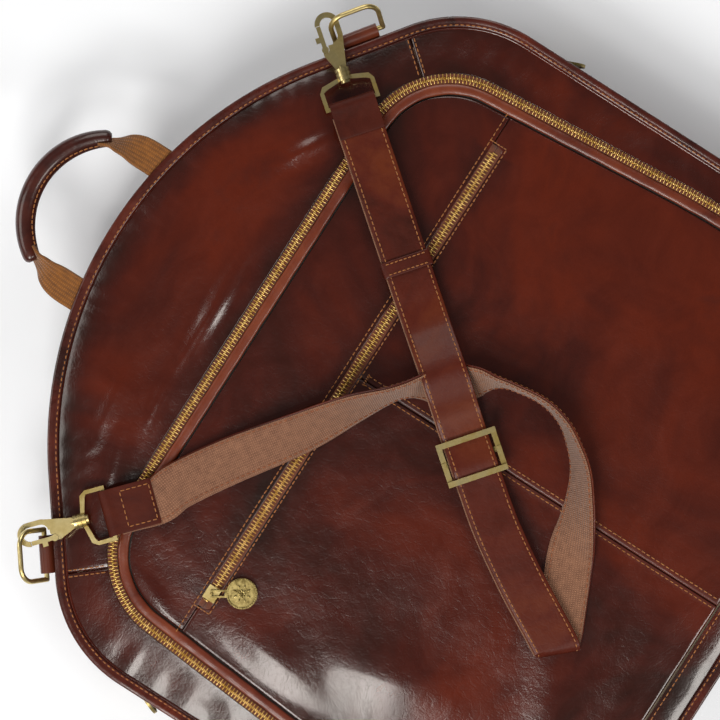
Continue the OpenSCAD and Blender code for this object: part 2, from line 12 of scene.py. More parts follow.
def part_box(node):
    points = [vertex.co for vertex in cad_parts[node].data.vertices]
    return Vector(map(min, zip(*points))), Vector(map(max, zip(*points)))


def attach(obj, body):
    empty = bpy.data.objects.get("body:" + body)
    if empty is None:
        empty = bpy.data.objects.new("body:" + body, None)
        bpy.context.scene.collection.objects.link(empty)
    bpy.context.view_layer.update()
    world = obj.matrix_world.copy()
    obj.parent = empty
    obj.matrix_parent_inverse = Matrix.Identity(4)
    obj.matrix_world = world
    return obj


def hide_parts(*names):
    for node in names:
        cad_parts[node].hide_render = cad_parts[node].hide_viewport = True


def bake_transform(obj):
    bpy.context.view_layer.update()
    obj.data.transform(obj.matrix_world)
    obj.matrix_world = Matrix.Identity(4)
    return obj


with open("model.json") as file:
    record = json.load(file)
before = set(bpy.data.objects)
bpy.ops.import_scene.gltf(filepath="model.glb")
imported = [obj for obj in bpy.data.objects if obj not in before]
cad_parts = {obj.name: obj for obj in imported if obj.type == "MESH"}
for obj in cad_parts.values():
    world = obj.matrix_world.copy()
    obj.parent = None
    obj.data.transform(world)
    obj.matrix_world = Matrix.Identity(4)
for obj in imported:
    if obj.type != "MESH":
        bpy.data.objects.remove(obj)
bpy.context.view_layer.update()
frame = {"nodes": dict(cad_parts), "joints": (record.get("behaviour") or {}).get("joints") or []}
MM = 0.001
joints = {j["name"]: j for j in frame["joints"]}

# ---------------------------------------------------------------- sizes, from the frame

edge_lo, edge_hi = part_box("front_binding")
HALF_W = edge_hi.x
TOP_Y = edge_hi.y
LOW_Y = edge_lo.y
FACE_Z = edge_hi.z
FOLD_Z = joints["fold"]["pos_m"][2]
BINDING = 8 * MM
GUSSET_IN = HALF_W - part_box("front_gusset")[1].x
ARCH_R = 304 * MM
CORNER_R = 101 * MM
BOTTOM_R = 28 * MM
SHOULDER = math.radians(36.5)

big_lo, big_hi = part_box("big_zip_teeth")
TEETH_HALF = 3.35 * MM
TEETH_MID = (big_lo.z + big_hi.z) / 2
U_HALF = big_hi.x - TEETH_HALF
U_TOP = big_hi.y - TEETH_HALF
U_END = big_lo.y
U_R = 67 * MM
U_LEAN = math.radians(4.9)
U_KINK_Y = -150 * MM
U_KINK_R = 0.6
pz_lo, pz_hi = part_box("pocket_zip_teeth")
POCKET_ZIP_Y = (pz_lo.y + pz_hi.y) / 2
POCKET_ZIP_HALF = pz_hi.x
WELT_W = 8 * MM

ARCH_C = np.array([0, TOP_Y - ARCH_R])
NORMAL = math.pi / 2 - SHOULDER
corner_x = HALF_W - CORNER_R
reach = ARCH_C[1] * math.sin(NORMAL) + ARCH_R
CORNER_C = np.array([corner_x, (reach - CORNER_R - corner_x * math.cos(NORMAL)) / math.sin(NORMAL)])
BOTTOM_C = np.array([HALF_W - BOTTOM_R, LOW_Y + BOTTOM_R])
U_SIDE_X = U_HALF - (U_TOP - U_R + U_R * math.sin(U_LEAN) - U_KINK_Y) * math.tan(U_LEAN)
U_C = np.array([U_SIDE_X - U_R * math.cos(U_LEAN), U_TOP - U_R])
FLIP = np.array([-1, 1])
UP = np.array([0, 0, 1.0])
SIDES = ((-1, "left"), (1, "right"))


def direction(angle):
    return np.array([math.cos(angle), math.sin(angle)])


def arc(c, r, a0, a1, n):
    a = np.linspace(a0, a1, n + 1)
    return np.stack([c[0] + r * np.cos(a), c[1] + r * np.sin(a)], 1)


def outline_right(d):
    """Right half of the bag's outer edge, moved inwards by d, from the top middle to the bottom middle."""
    return np.concatenate([
        arc(ARCH_C, ARCH_R - d, math.pi / 2, NORMAL, 24),
        arc(CORNER_C, CORNER_R - d, NORMAL, 0, 20),
        arc(BOTTOM_C, BOTTOM_R - d, 0, -math.pi / 2, 10),
        [[0, LOW_Y + d]]])


def mirror_x(p):
    q = p[::-1].copy()
    q[:, 0] *= -1
    return q


def both_sides(right):
    """Whole line from its right half, which starts in the middle."""
    return np.concatenate([mirror_x(right)[:-1], right])


def outline(d):
    """Closed outer edge, clockwise from the top middle, without a repeated last point."""
    right = outline_right(d)
    return np.concatenate([right, mirror_x(right)[1:-1]])


def u_right(d):
    """Right half of the big pocket zip's path, moved outwards by d, from the top middle to the lower end."""
    kink = np.array([U_HALF + d - U_KINK_R, U_KINK_Y - U_KINK_R * math.tan(U_LEAN / 2)])
    return np.concatenate([
        [[0, U_TOP + d]],
        arc(U_C, U_R + d, math.pi / 2, U_LEAN, 20), arc(kink, U_KINK_R, U_LEAN, 0, 6), [[U_HALF + d, U_END]]])


def lengths(path):
    """Distance along a path to each of its points."""
    return np.concatenate([[0], np.cumsum(np.linalg.norm(np.diff(path, axis=0), axis=1))])


def at_length(path, s):
    """Points at the distances s along a path of points of any dimension."""
    along = lengths(path)
    return np.stack([np.interp(s, along, path[:, k]) for k in range(path.shape[1])], 1)


def resample(path, step):
    """Points spaced evenly, about step apart."""
    path = np.asarray(path, float)
    total = lengths(path)[-1]
    return at_length(path, np.linspace(0, total, max(2, int(round(total / step)) + 1)))


def at_shares(path, shares):
    return at_length(path, np.asarray(shares) * lengths(path)[-1])


def smooth_line(points, step):
    """Evenly spaced points of a Catmull-Rom curve through the rows of points."""
    p = np.asarray(points, float)
    q = np.concatenate([[2 * p[0] - p[1]], p, [2 * p[-1] - p[-2]]])
    out = []
    for a, b, c, d in zip(q, q[1:], q[2:], q[3:]):
        for t in np.linspace(0, 1, 24, endpoint=False):
            out.append(0.5 * (2 * b + (c - a) * t + (2 * a - 5 * b + 4 * c - d) * t * t
                              + (3 * b - a - 3 * c + d) * t ** 3))
    out.append(p[-1])
    return resample(np.array(out), step)


def tangents(p):
    t = np.gradient(p, axis=0)
    return t / np.linalg.norm(t, axis=1)[:, None]


def distance_to(line, xy):
    """Distance from each point in xy to a finely sampled line."""
    dense = resample(line, 2 * MM)
    best = np.full(len(xy), 1e9)
    for k in range(0, len(dense), 100):
        d = np.linalg.norm(xy[:, None, :] - dense[None, k:k + 100, :], axis=2).min(1)
        best = np.minimum(best, d)
    return best


# ---------------------------------------------------------------- soft surface of the front

EDGE_LINE = np.concatenate([outline(0), outline(0)[:1]])
U_LINE = both_sides(u_right(0))
rng = np.random.default_rng(7)
WAVES = [(rng.uniform(8, 26), rng.uniform(0, math.tau), rng.uniform(0, math.tau)) for _ in range(14)]
SEWN_DROP = 3.4 * MM
FILL = 4.6 * MM
UNEVEN = 1.3 * MM
SIDE_FALL = 4.2 * MM
PUCKER = 0.35 * MM
ZIP_BED = FACE_Z + 0.1 * MM


def rumple(xy):
    """Low soft unevenness of a filled leather panel, from -1 to 1 or so."""
    z = np.zeros(len(xy))
    for k, a, phase in WAVES:
        z += np.sin(k * (xy[:, 0] * math.cos(a) + xy[:, 1] * math.sin(a)) + phase) * (12 / k)
    return z / 6


# Soft folds of the leather: place, direction in degrees, length and width, and height, in mm
FOLDS = [((-112, 140), 8, (34, 7), 1.8), ((-150, 112), 20, (40, 8), 2.0), ((-60, 112), 6, (34, 6), 1.4),
         ((30, 116), -8, (24, 5), 1.2), ((-215, 40), 70, (40, 8), 1.5), ((-262, -120), 88, (60, 7), 1.3),
         ((-170, -150), 100, (60, 22), 2.4), ((-120, -250), 30, (70, 20), 2.2),
         ((-205, -60), 80, (40, 16), 1.6), ((150, -200), 60, (90, 40), 1.6),
         ((120, -60), 20, (60, 30), 1.2), ((-40, -290), 5, (90, 16), 1.6),
         ((-12, 113), 4, (34, 8), 4.4), ((126, 119), -30, (20, 6), 2.8), ((-92, 112), 12, (22, 5), 1.6)]


def bell(x, width):
    return np.exp(-(x / width) ** 2)


def rise_from(line, xy, start, soft):
    """0 to 1: how far the leather has risen, starting at a depth from a line."""
    return 1 - np.exp(-np.clip(distance_to(line, xy) - start, 0, None) / soft)


def front_height(xy):
    """Height of the front leather at points across it."""
    rise = rise_from(EDGE_LINE, xy, BINDING, 14 * MM)
    z = FACE_Z - SEWN_DROP + FILL * rise + UNEVEN * rumple(xy) * rise
    x, y = xy[:, 0], xy[:, 1]
    # it falls off to the sides, and is fuller low in the middle and below the arch
    z -= SIDE_FALL * np.clip((np.abs(x) - 0.13) / 0.15, 0, None) ** 2 * rise
    z += 1.6 * MM * bell(x, 0.17) * bell(y + 0.19, 0.12)
    z += 1.4 * MM * bell(x, 0.20) * bell(y - 0.16, 0.04)
    # puckers that run in from the sewn edge at the shoulders and down the sides
    along = np.arctan2(y - 0.02, x) * 0.26
    gather = 0.5 + 0.5 * np.sin(along * 41 + 1.2 * np.sin(along * 13))
    near_edge = bell(distance_to(EDGE_LINE, xy) - 22 * MM, 15 * MM)
    z += PUCKER * gather * np.sin(along * 300 + 3.4 * np.sin(along * 37)) * near_edge
    for place, angle, (long, wide), high in FOLDS:
        rel = xy - np.array(place) * MM
        c, s = direction(math.radians(angle))
        on, off = rel[:, 0] * c + rel[:, 1] * s, -rel[:, 0] * s + rel[:, 1] * c
        z += high * MM * bell(on, long * MM) * bell(off, wide * MM)
    # flat along both zips
    near = bell(distance_to(U_LINE, xy), 17 * MM)
    z = z * (1 - near) + ZIP_BED * near
    slot = bell(y - POCKET_ZIP_Y, 14 * MM) * (np.abs(x) < POCKET_ZIP_HALF + 0.03)
    return z * (1 - slot) + ZIP_BED * slot


def spaced(n, tight=0.004):
    """Values from 0 to 1 with a few close together at each end, for a turned edge."""
    inner = np.linspace(0, 1, n + 1)[1:-1]
    ends = np.array([0, tight * 0.35, tight, tight * 2.2])
    return np.concatenate([ends, inner[(inner > tight * 3) & (inner < 1 - tight * 3)], 1 - ends[::-1]])


# ---------------------------------------------------------------- meshes

def new_object(name, verts, faces, solid=True):
    """Mesh object. A solid one is shaded smooth, with its faces turned outwards."""
    mesh = bpy.data.meshes.new(name)
    mesh.from_pydata([tuple(v) for v in verts], [], [tuple(int(i) for i in f) for f in faces])
    mesh.update()
    obj = bpy.data.objects.new(name, mesh)
    bpy.context.scene.collection.objects.link(obj)
    if solid:
        mesh.polygons.foreach_set("use_smooth", [True] * len(mesh.polygons))
        bm = bmesh.new()
        bm.from_mesh(mesh)
        bmesh.ops.recalc_face_normals(bm, faces=bm.faces)
        bm.to_mesh(mesh)
        bm.free()
    return obj


def grid_faces(m, n, start=0, flip=False, wrap_m=False, wrap_n=False):
    faces = []
    for i in range(m if wrap_m else m - 1):
        for j in range(n if wrap_n else n - 1):
            a = start + i * n + j
            b = start + i * n + (j + 1) % n
            c = start + ((i + 1) % m) * n + (j + 1) % n
            d = start + ((i + 1) % m) * n + j
            faces.append((a, d, c, b) if flip else (a, b, c, d))
    return faces


def tube_faces(rows, k):
    """Faces around rows of k points, with a flat end at both ends."""
    ends = [tuple(range(k)), tuple(range(rows * k - 1, rows * k - k - 1, -1))]
    return grid_faces(rows, k, wrap_n=True) + ends


def lifted(grid, height):
    """Grid of 3-D points from a flat grid (m, n, 2) and the height of each point."""
    return np.concatenate([grid.reshape(-1, 2), height[:, None]], 1).reshape(*grid.shape[:2], 3)


def slab(name, top, thickness, up=(0, 0, 1)):
    """Closed sheet from a grid of top points (m, n, 3), with its rim turned down a little."""
    m, n = top.shape[:2]
    up = np.array(up, float)
    drop = np.zeros((m, n))
    for ring, share in ((0, 0.55), (1, 0.18)):
        keep = np.zeros((m, n), bool)
        keep[[ring, m - 1 - ring], :] = True
        keep[:, [ring, n - 1 - ring]] = True
        drop = np.maximum(drop, keep * share * thickness)
    top = top - drop[..., None] * up
    low = top - up * thickness + drop[..., None] * up
    faces = grid_faces(m, n) + grid_faces(m, n, m * n, flip=True)
    rim = ([(0, j) for j in range(n)] + [(i, n - 1) for i in range(1, m)]
           + [(m - 1, j) for j in range(n - 2, -1, -1)] + [(i, 0) for i in range(m - 2, 0, -1)])
    ids = [i * n + j for i, j in rim]
    for a, b in zip(ids, ids[1:] + ids[:1]):
        faces.append((b, a, a + m * n, b + m * n))
    return new_object(name, np.concatenate([top.reshape(-1, 3), low.reshape(-1, 3)]), faces)


def frames_along(path, side=None):
    """Side and up directions at each point of a 3-D path."""
    t = tangents(path)
    if side is None:
        side = np.cross(UP, t)
    side = side - (side * t).sum(1)[:, None] * t
    side /= np.linalg.norm(side, axis=1)[:, None]
    return side, np.cross(t, side)


def carried(path, side, up, section, wide=1.0, high=1.0):
    """Points of a section (across, up) carried along a path; wide and high stretch it along the way."""
    sec = np.asarray(section, float)
    wide, high = (np.broadcast_to(x, len(path))[:, None, None] for x in (wide, high))
    return (path[:, None] + side[:, None] * (sec[None, :, 0:1] * wide)
            + up[:, None] * (sec[None, :, 1:2] * high)).reshape(-1, 3)


def sweep(name, path, section, scale=1.0):
    """Closed tube along a path."""
    path = np.asarray(path, float)
    verts = carried(path, *frames_along(path), section, scale, scale)
    return new_object(name, verts, tube_faces(len(path), len(section)))


def strap_section(half_w, z0, z1, n=10):
    """Flat band between two heights, with rounded long edges."""
    r = (z1 - z0) / 2
    mid = (z0 + z1) / 2
    a = np.linspace(-math.pi / 2, math.pi / 2, 5)
    right = np.stack([half_w - r + r * np.cos(a), mid + r * np.sin(a)], 1)
    left = np.stack([-(half_w - r) - r * np.cos(a), mid - r * np.sin(a)], 1)
    top = np.stack([np.linspace(half_w - r, -(half_w - r), n)[1:-1], np.full(n - 2, z1)], 1)
    low = np.stack([np.linspace(-(half_w - r), half_w - r, n)[1:-1], np.full(n - 2, z0)], 1)
    return np.concatenate([right, top, left, low])


def join(name, parts):
    """One object from several, each a (verts, faces) pair."""
    verts, faces, base = [], [], 0
    for v, f in parts:
        verts.append(np.asarray(v, float))
        faces += [tuple(i + base for i in face) for face in f]
        base += len(v)
    return new_object(name, np.concatenate(verts), faces)


def capsule():
    """A stitch: a short rounded thread, 1 long and 1 across, lying along X."""
    rings = [(-0.5, 0.45, -0.28), (-0.36, 0.85, 0.1), (0, 1.0, 0.32), (0.36, 0.85, 0.1), (0.5, 0.45, -0.28)]
    a = np.linspace(0, math.tau, 6, endpoint=False)
    verts = [(x, 0.5 * r * math.cos(t), 0.5 * r * math.sin(t) + lift) for x, r, lift in rings for t in a]
    return np.array(verts), tube_faces(len(rings), 6)


STITCH = capsule()
STITCH_PITCH = 4.2 * MM
THREAD_W = 0.95 * MM


def stitch_row(name, path, up=None, pitch=STITCH_PITCH, length=3.1 * MM, skew=0.0):
    """Raised stitches along a 3-D path that lies on the leather."""
    p = resample(path, pitch)
    t = tangents(p)
    up = np.tile(UP, (len(p), 1)) if up is None else up
    parts = []
    dice = random.Random(len(p))
    v, faces = STITCH
    for i in range(len(p) - 1):
        y = np.cross(up[min(i, len(up) - 1)], t[i])
        y /= np.linalg.norm(y)
        z = np.cross(t[i], y)
        turn = skew + dice.uniform(-0.06, 0.06)
        x, y = t[i] * math.cos(turn) + y * math.sin(turn), y * math.cos(turn) - t[i] * math.sin(turn)
        long = length * dice.uniform(0.94, 1.05)
        parts.append(((p[i] + p[i + 1]) / 2 + v[:, 0:1] * x * long + v[:, 1:2] * y * THREAD_W
                      + v[:, 2:3] * z * THREAD_W, faces))
    return join(name, parts)


# ---------------------------------------------------------------- materials

def rgb(text):
    """Linear colour from a web colour."""
    parts = [int(text[i:i + 2], 16) / 255 for i in (1, 3, 5)]
    return tuple((c / 12.92 if c <= 0.04045 else ((c + 0.055) / 1.055) ** 2.4) for c in parts) + (1.0,)


class Shade:
    """A new material and short ways to add nodes to it. A socket takes a value or another node's output."""

    def __init__(self, name):
        self.mat = bpy.data.materials.new(name)
        self.mat.use_nodes = True
        self.nodes = self.mat.node_tree.nodes
        self.at = self.add("TexCoord").outputs["Object"]

    def feed(self, socket, value):
        if isinstance(value, bpy.types.NodeSocket):
            self.mat.node_tree.links.new(value, socket)
        else:
            socket.default_value = value

    def add(self, kind, **values):
        node = self.nodes.new("ShaderNode" + kind)
        for key, value in values.items():
            if key in node.inputs:
                self.feed(node.inputs[key], value)
            else:
                setattr(node, key, value)
        return node

    def surface(self, socket, value):
        self.feed(self.nodes["Principled BSDF"].inputs[socket], value)

    def stored(self, name, output="Fac"):
        """What store or lay_threads left at the vertices."""
        return self.add("Attribute", attribute_name=name).outputs[output]

    def noise(self, scale, detail=3.0, rough=0.55, distort=0.0):
        return self.add("TexNoise", Scale=scale, Detail=detail, Roughness=rough, Distortion=distort,
                        Vector=self.at).outputs["Fac"]

    def maths(self, kind, a, b):
        node = self.add("Math", operation=kind)
        self.feed(node.inputs[0], a)
        self.feed(node.inputs[1], b)
        return node.outputs[0]

    def times(self, a, b):
        return self.maths("MULTIPLY", a, b)

    def ramp(self, value, stops):
        """Colour ramp of (place, grey level or colour) stops."""
        node = self.add("ValToRGB")
        while len(node.color_ramp.elements) < len(stops):
            node.color_ramp.elements.new(0.5)
        for element, (place, colour) in zip(node.color_ramp.elements, stops):
            element.position = place
            element.color = colour if isinstance(colour, tuple) else (colour, colour, colour, 1)
        self.feed(node.inputs[0], value)
        return node.outputs[0]

    def bump(self, *layers):
        """Chain of bump nodes; each layer is (height, strength, distance)."""
        last = None
        for height, strength, distance in layers:
            node = self.add("Bump", Strength=strength, Distance=distance, Height=height)
            if last is not None:
                self.feed(node.inputs["Normal"], last)
            last = node.outputs[0]
        self.surface("Normal", last)


def leather(name, dark, mid, light, shine=0.18, patch=6.0, coat=0.5, gloss=0.4):
    """Burnished, waxed leather: cloudy colour, with painted shade that darkens it by the seams, and fine
    pores and creases.
    """
    s = Shade(name)
    dark, mid, light = rgb(dark), rgb(mid), rgb(light)
    cloud = s.noise(patch, 4.0, 0.6, 0.7)
    streak = s.noise(patch * 4.2, 5.0, 0.65, 1.1)
    both = s.maths("ADD", s.times(cloud, 0.84), s.times(streak, 0.16))
    # painted shade: the colour darkens by the stored amount, by the sunken seams and zips
    both = s.maths("SUBTRACT", both, s.times(s.stored("burnish"), 0.17))
    colour = s.ramp(both, [(0.30, dark), (0.46, mid), (0.62, light), (0.76, mid)])
    speck = s.ramp(s.noise(900, 2.0), [(0.3, 0.72), (0.7, 1.0)])
    specked = s.add("Mix", data_type="RGBA", blend_type="MULTIPLY")
    for slot, value in ((0, 0.35), (6, colour), (7, speck)):
        s.feed(specked.inputs[slot], value)
    s.surface("Base Color", specked.outputs[2])
    matte = s.stored("matte")
    rough = s.ramp(streak, [(0.3, shine), (0.75, shine + 0.10)])
    s.surface("Roughness", s.maths("ADD", rough, s.times(matte, 0.4)))
    s.surface("Specular IOR Level", gloss)
    s.surface("Coat Weight", s.times(s.maths("SUBTRACT", 1.0, matte), coat))
    s.surface("Coat Roughness", 0.09)
    pores = s.add("TexVoronoi", Scale=620, Vector=s.at)
    wobble = s.add("TexNoise", Scale=60, Detail=2, Vector=s.at)
    less = s.add("VectorMath", operation="SCALE", Scale=0.008)
    s.feed(less.inputs[0], wobble.outputs["Color"])
    warp = s.add("VectorMath", operation="ADD")
    s.feed(warp.inputs[0], s.at)
    s.feed(warp.inputs[1], less.outputs[0])
    creases = s.add("TexVoronoi", Scale=150, feature="DISTANCE_TO_EDGE", Vector=warp.outputs[0])
    line = s.ramp(creases.outputs["Distance"], [(0.0, 0.0), (0.10, 1.0)])
    s.bump((s.noise(30), 0.2, 0.0035), (line, 0.06, 0.0005), (pores.outputs["Distance"], 0.10, 0.0004))
    return s.mat


def metal(name, base, worn, rough=0.28, tarnish=60):
    """Plated brass with cloudy tarnish and fine scratches."""
    s = Shade(name)
    cloud = s.noise(tarnish, 4.0)
    s.surface("Base Color", s.ramp(cloud, [(0.35, rgb(worn)), (0.62, rgb(base))]))
    s.surface("Roughness", s.ramp(cloud, [(0.3, rough + 0.18), (0.7, rough)]))
    s.surface("Metallic", 1.0)
    s.bump((s.noise(1400, 2.0), 0.08, 0.0003))
    return s.mat


WAVE_BANDS = 2 * math.pi / 20 / MM


def weave(name, base, dark, across=1.0, along=1.0, rough=0.85, twill=False, depth=0.5, follow=False):
    """Cloth: crossing rows of threads, across and along mm apart, with some lint in the colour.

    With follow, the threads run with the band, by the lie of it that lay_threads stores."""
    s = Shade(name)
    threads = s.stored("lie", "Vector") if follow else s.at
    rows = []
    for apart, way in ((across, "X"), (along, "DIAGONAL" if twill else "Y")):
        wave = s.add("TexWave", Scale=WAVE_BANDS / apart, Distortion=0.35, bands_direction=way,
                     Vector=threads)
        wave.inputs["Detail Scale"].default_value = 3
        rows.append(wave.outputs["Fac"])
    cross = s.times(*rows)
    lint = s.noise(210, 4.0)
    tone = s.maths("ADD", s.times(cross, 0.6), s.times(lint, 0.5))
    s.surface("Base Color", s.ramp(tone, [(0.15, rgb(dark)), (0.65, rgb(base))]))
    s.surface("Roughness", rough)
    s.surface("Sheen Weight", 0.25)
    s.bump((cross, depth, 0.0007), (lint, 0.2, 0.0006))
    return s.mat


def plastic(name, colour):
    """Moulded plastic or pressed board with a fine grain."""
    s = Shade(name)
    colour = rgb(colour)
    fine = s.noise(700)
    s.surface("Roughness", s.ramp(fine, [(0.3, 0.32), (0.7, 0.46)]))
    lighter = tuple(min(1, c * 1.5) for c in colour[:3]) + (1,)
    s.surface("Base Color", s.ramp(fine, [(0.2, colour), (0.9, lighter)]))
    s.bump((fine, 0.12, 0.0004))
    return s.mat


LEATHER = leather("burnished_leather", "#22100b", "#3e150d", "#581d0c")
BINDING_LEATHER = leather("binding_leather", "#2c100b", "#481a11", "#5c2415", 0.24, 18, 0.3)
STRAP_LEATHER = leather("strap_leather", "#35120a", "#4e1b0f", "#5f2812", 0.36, 12, 0.06, 0.2)
WELT_LEATHER = leather("welt_leather", "#4a1b0f", "#642814", "#74341a", 0.34, 16, 0.2)
LOOP_LEATHER = leather("loop_leather", "#3c160d", "#562313", "#642c17", 0.34, 16, 0.2)
TAB_LEATHER = leather("tab_leather", "#2a0f08", "#42160c", "#501e10", 0.45, 18, 0.0, 0.14)
GRIP_LEATHER = leather("grip_leather", "#240d09", "#3a150e", "#4e2015", 0.28, 22, 0.35)
THREAD = weave("orange_thread", "#c07a28", "#7c4014", 0.5, 0.5, 0.7)
DARK_THREAD = weave("brown_thread", "#a65a22", "#6a3210", 0.5, 0.5, 0.7)
GOLD = metal("zip_brass", "#f0d088", "#bd9547", 0.34, 220)
BRASS = metal("antique_brass", "#d8c790", "#a08c54", 0.27, 60)
OLD_BRASS = metal("aged_brass", "#bcaa70", "#75663c", 0.34, 300)
LINING = weave("lining_twill", "#342b26", "#1e1815", 1.7, 1.7, twill=True)
TAPE = weave("zip_tape", "#7a3d1c", "#4a2110", 0.8, 0.8, 0.8)
CANVAS = weave("strap_canvas", "#9a6c50", "#643f2b", 1.5, 1.9, 0.9, depth=0.9, follow=True)
WEBBING = weave("handle_webbing_cloth", "#9c5f14", "#5c3408", 1.5, 3.2, 0.8, depth=0.9, follow=True)
ELASTIC = weave("garment_strap_cloth", "#2b2523", "#100d0c")
BLACK_PLASTIC = plastic("moulded_black", "#161514")
BOARD = plastic("stiffener_board", "#8a7a66")


def finish_piece(obj, mat, body, replaces=(), bevel=0.0):
    """Material, modifiers and body of a piece."""
    obj.data.materials.clear()
    obj.data.materials.append(mat)
    if bevel:
        mod = obj.modifiers.new("edges", "BEVEL")
        mod.width = bevel
        mod.segments = 2
        mod.limit_method = "ANGLE"
    if body:
        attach(obj, body)
    if replaces:
        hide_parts(*replaces)
    return obj


def store(obj, name, weight):
    """Stores a number at each vertex for the leather: how much painted shade darkens it, or how matte."""
    attribute = obj.data.attributes.new(name, "FLOAT", "POINT")
    attribute.data.foreach_set("value", np.asarray(weight, np.float32))


def lay_threads(obj, path, across):
    """Stores at each vertex how far along its band it lies and how far across, for woven bands."""
    across = np.broadcast_to(across, (len(path), np.shape(across)[-1]))
    lie = np.stack([np.broadcast_to(lengths(path)[:, None], across.shape), across, 0 * across], 2)
    attribute = obj.data.attributes.new("lie", "FLOAT_VECTOR", "POINT")
    attribute.data.foreach_set("vector", lie.astype(np.float32).ravel())


def flat_of(obj):
    """Where the vertices of a piece are, seen from above."""
    return np.array([v.co[:2] for v in obj.data.vertices], float)


# ---------------------------------------------------------------- leather panels

PANEL_STEP = 3.2 * MM
SEAM_ANGLE = NORMAL - math.radians(4)
SEAM_DIR = direction(SEAM_ANGLE)
SEAM_SIDE = np.array([SEAM_DIR[1], -SEAM_DIR[0]])
SEAM_GAP = 0.25 * MM
OUTER = BINDING + 0.3 * MM
INNER = TEETH_HALF + 0.5 * MM
POCKET_D = INNER + WELT_W + 1.2 * MM
YOKE_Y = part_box("pocket_yoke")[0].y
LOWER_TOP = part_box("pocket_right_panel")[1].y
SLOT_LOW = POCKET_ZIP_Y - 4.2 * MM
SEAM_X = 3.5 * MM


def cut(path, start, end):
    """The part of a path between the places nearest to two points."""
    dense = resample(path, 0.5 * MM)
    i = int(np.argmin(np.linalg.norm(dense - np.array(start), axis=1)))
    j = int(np.argmin(np.linalg.norm(dense - np.array(end), axis=1)))
    part = dense[i:j + 1] if i < j else dense[j:i + 1][::-1]
    return resample(part, PANEL_STEP)


def coons(low, right, high, left, m, n):
    """Grid of points inside four edge curves. low and high run the same way, left and right run upwards."""
    s, t = spaced(m), spaced(n)
    a, b = at_shares(low, s), at_shares(high, s)
    c, d = at_shares(left, t), at_shares(right, t)
    s, t = s[:, None, None], t[None, :, None]
    return ((1 - t) * a[:, None] + t * b[:, None] + (1 - s) * c[None] + s * d[None]
            - ((1 - s) * (1 - t) * a[0] + s * (1 - t) * a[-1] + (1 - s) * t * b[0] + s * t * b[-1]))


def front_slab(name, grid):
    obj = slab(name, lifted(grid, front_height(grid.reshape(-1, 2))), 2 * MM)
    xy = flat_of(obj)
    # painted shade: darker by the sewn edge and along both zips, where the leather sinks
    store(obj, "burnish", bell(distance_to(EDGE_LINE, xy) - BINDING, 16 * MM)
          + 0.8 * bell(distance_to(U_LINE, xy), 16 * MM)
          + 0.7 * bell(xy[:, 1] - POCKET_ZIP_Y, 15 * MM) * (np.abs(xy[:, 0]) < POCKET_ZIP_HALF))
    store(obj, "matte", bell(xy[:, 0] - SEAM_X, 2.2 * MM) * (xy[:, 1] < POCKET_ZIP_Y))
    return finish_piece(obj, LEATHER, "front_half", (name,))


def hit(path, start, way):
    """Where a ray meets a path."""
    dense = resample(path, 0.5 * MM)
    rel = dense - start
    side = np.abs(rel[:, 0] * way[1] - rel[:, 1] * way[0]) + 10 * (rel @ way < 0)
    return dense[int(np.argmin(side))]


def between(inner, outer, across):
    """Grid of the border's leather between its inner and outer edges."""
    ends = [np.stack([inner[k], outer[k]]) for k in (0, -1)]
    return coons(inner, ends[1], outer, ends[0], 150, across)


def border_side(sign, tag):
    start = U_C + SEAM_SIDE * SEAM_GAP
    inner = cut(u_right(INNER), hit(u_right(INNER), start, SEAM_DIR), (U_HALF + INNER, U_END))
    outer = cut(outline_right(OUTER), hit(outline_right(OUTER), start, SEAM_DIR), (HALF_W - OUTER, U_END))
    front_slab(f"front_{tag}_panel", between(inner, outer, 18) * np.array([sign, 1]))


def border_top():
    start = U_C - SEAM_SIDE * SEAM_GAP
    inner = cut(u_right(INNER), (0, U_TOP + INNER), hit(u_right(INNER), start, SEAM_DIR))
    outer = cut(outline_right(OUTER), (0, TOP_Y - OUTER), hit(outline_right(OUTER), start, SEAM_DIR))
    front_slab("front_top_panel", between(both_sides(inner), both_sides(outer), 44))


def pocket_yoke():
    rim = u_right(-POCKET_D)
    bend = U_C + (U_R - POCKET_D) * direction(math.radians(48))
    right = cut(rim, (rim[:, 0].max() - 6 * MM, YOKE_Y), bend)
    right[0, 1] = YOKE_Y
    left = right * FLIP
    low = np.stack([left[0], right[0]])
    front_slab("pocket_yoke", coons(low, right, both_sides(cut(rim, rim[0], bend)), left, 150, 36))


def pocket_lower(sign, tag):
    rim = u_right(-POCKET_D)
    right = cut(rim, (rim[-1, 0], U_END), (rim[:, 0].max() - 6 * MM, LOWER_TOP))
    right[-1, 1] = LOWER_TOP
    end = POCKET_ZIP_HALF
    middle = (0.3 + 3.5 * sign) * MM
    top = np.array([(middle, SLOT_LOW), (end + 3 * MM, SLOT_LOW), (end + 5.6 * MM, LOWER_TOP),
                    (right[-1, 0], LOWER_TOP)])
    low = np.array([(middle, U_END), (right[0, 0], U_END)])
    left = np.array([(middle, U_END), (middle, SLOT_LOW)])
    front_slab(f"pocket_{tag}_panel", coons(low, right, top, left, 84, 110) * np.array([sign, 1]))


def low_edge(right, bend):
    """Lower edge of a panel from its bends on both sides, along one depth of the outline."""
    low = cut(right, bend, right[-1])
    return np.concatenate([low * FLIP, low[::-1][1:]])


def bottom_strip():
    rim = outline_right(OUTER)
    bend = BOTTOM_C + (BOTTOM_R - OUTER) * direction(-0.9)
    right = cut(rim, bend, (HALF_W - OUTER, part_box("front_bottom_strip")[1].y))
    left = right * FLIP
    high = np.stack([left[-1], right[-1]])
    front_slab("front_bottom_strip", coons(low_edge(rim, bend), right, high, left, 150, 12))


border_top()
for side_sign, side_tag in SIDES[::-1]:
    border_side(side_sign, side_tag)
    pocket_lower(side_sign, side_tag)
pocket_yoke()
bottom_strip()


# ---------------------------------------------------------------- bindings, gussets, rear and inside

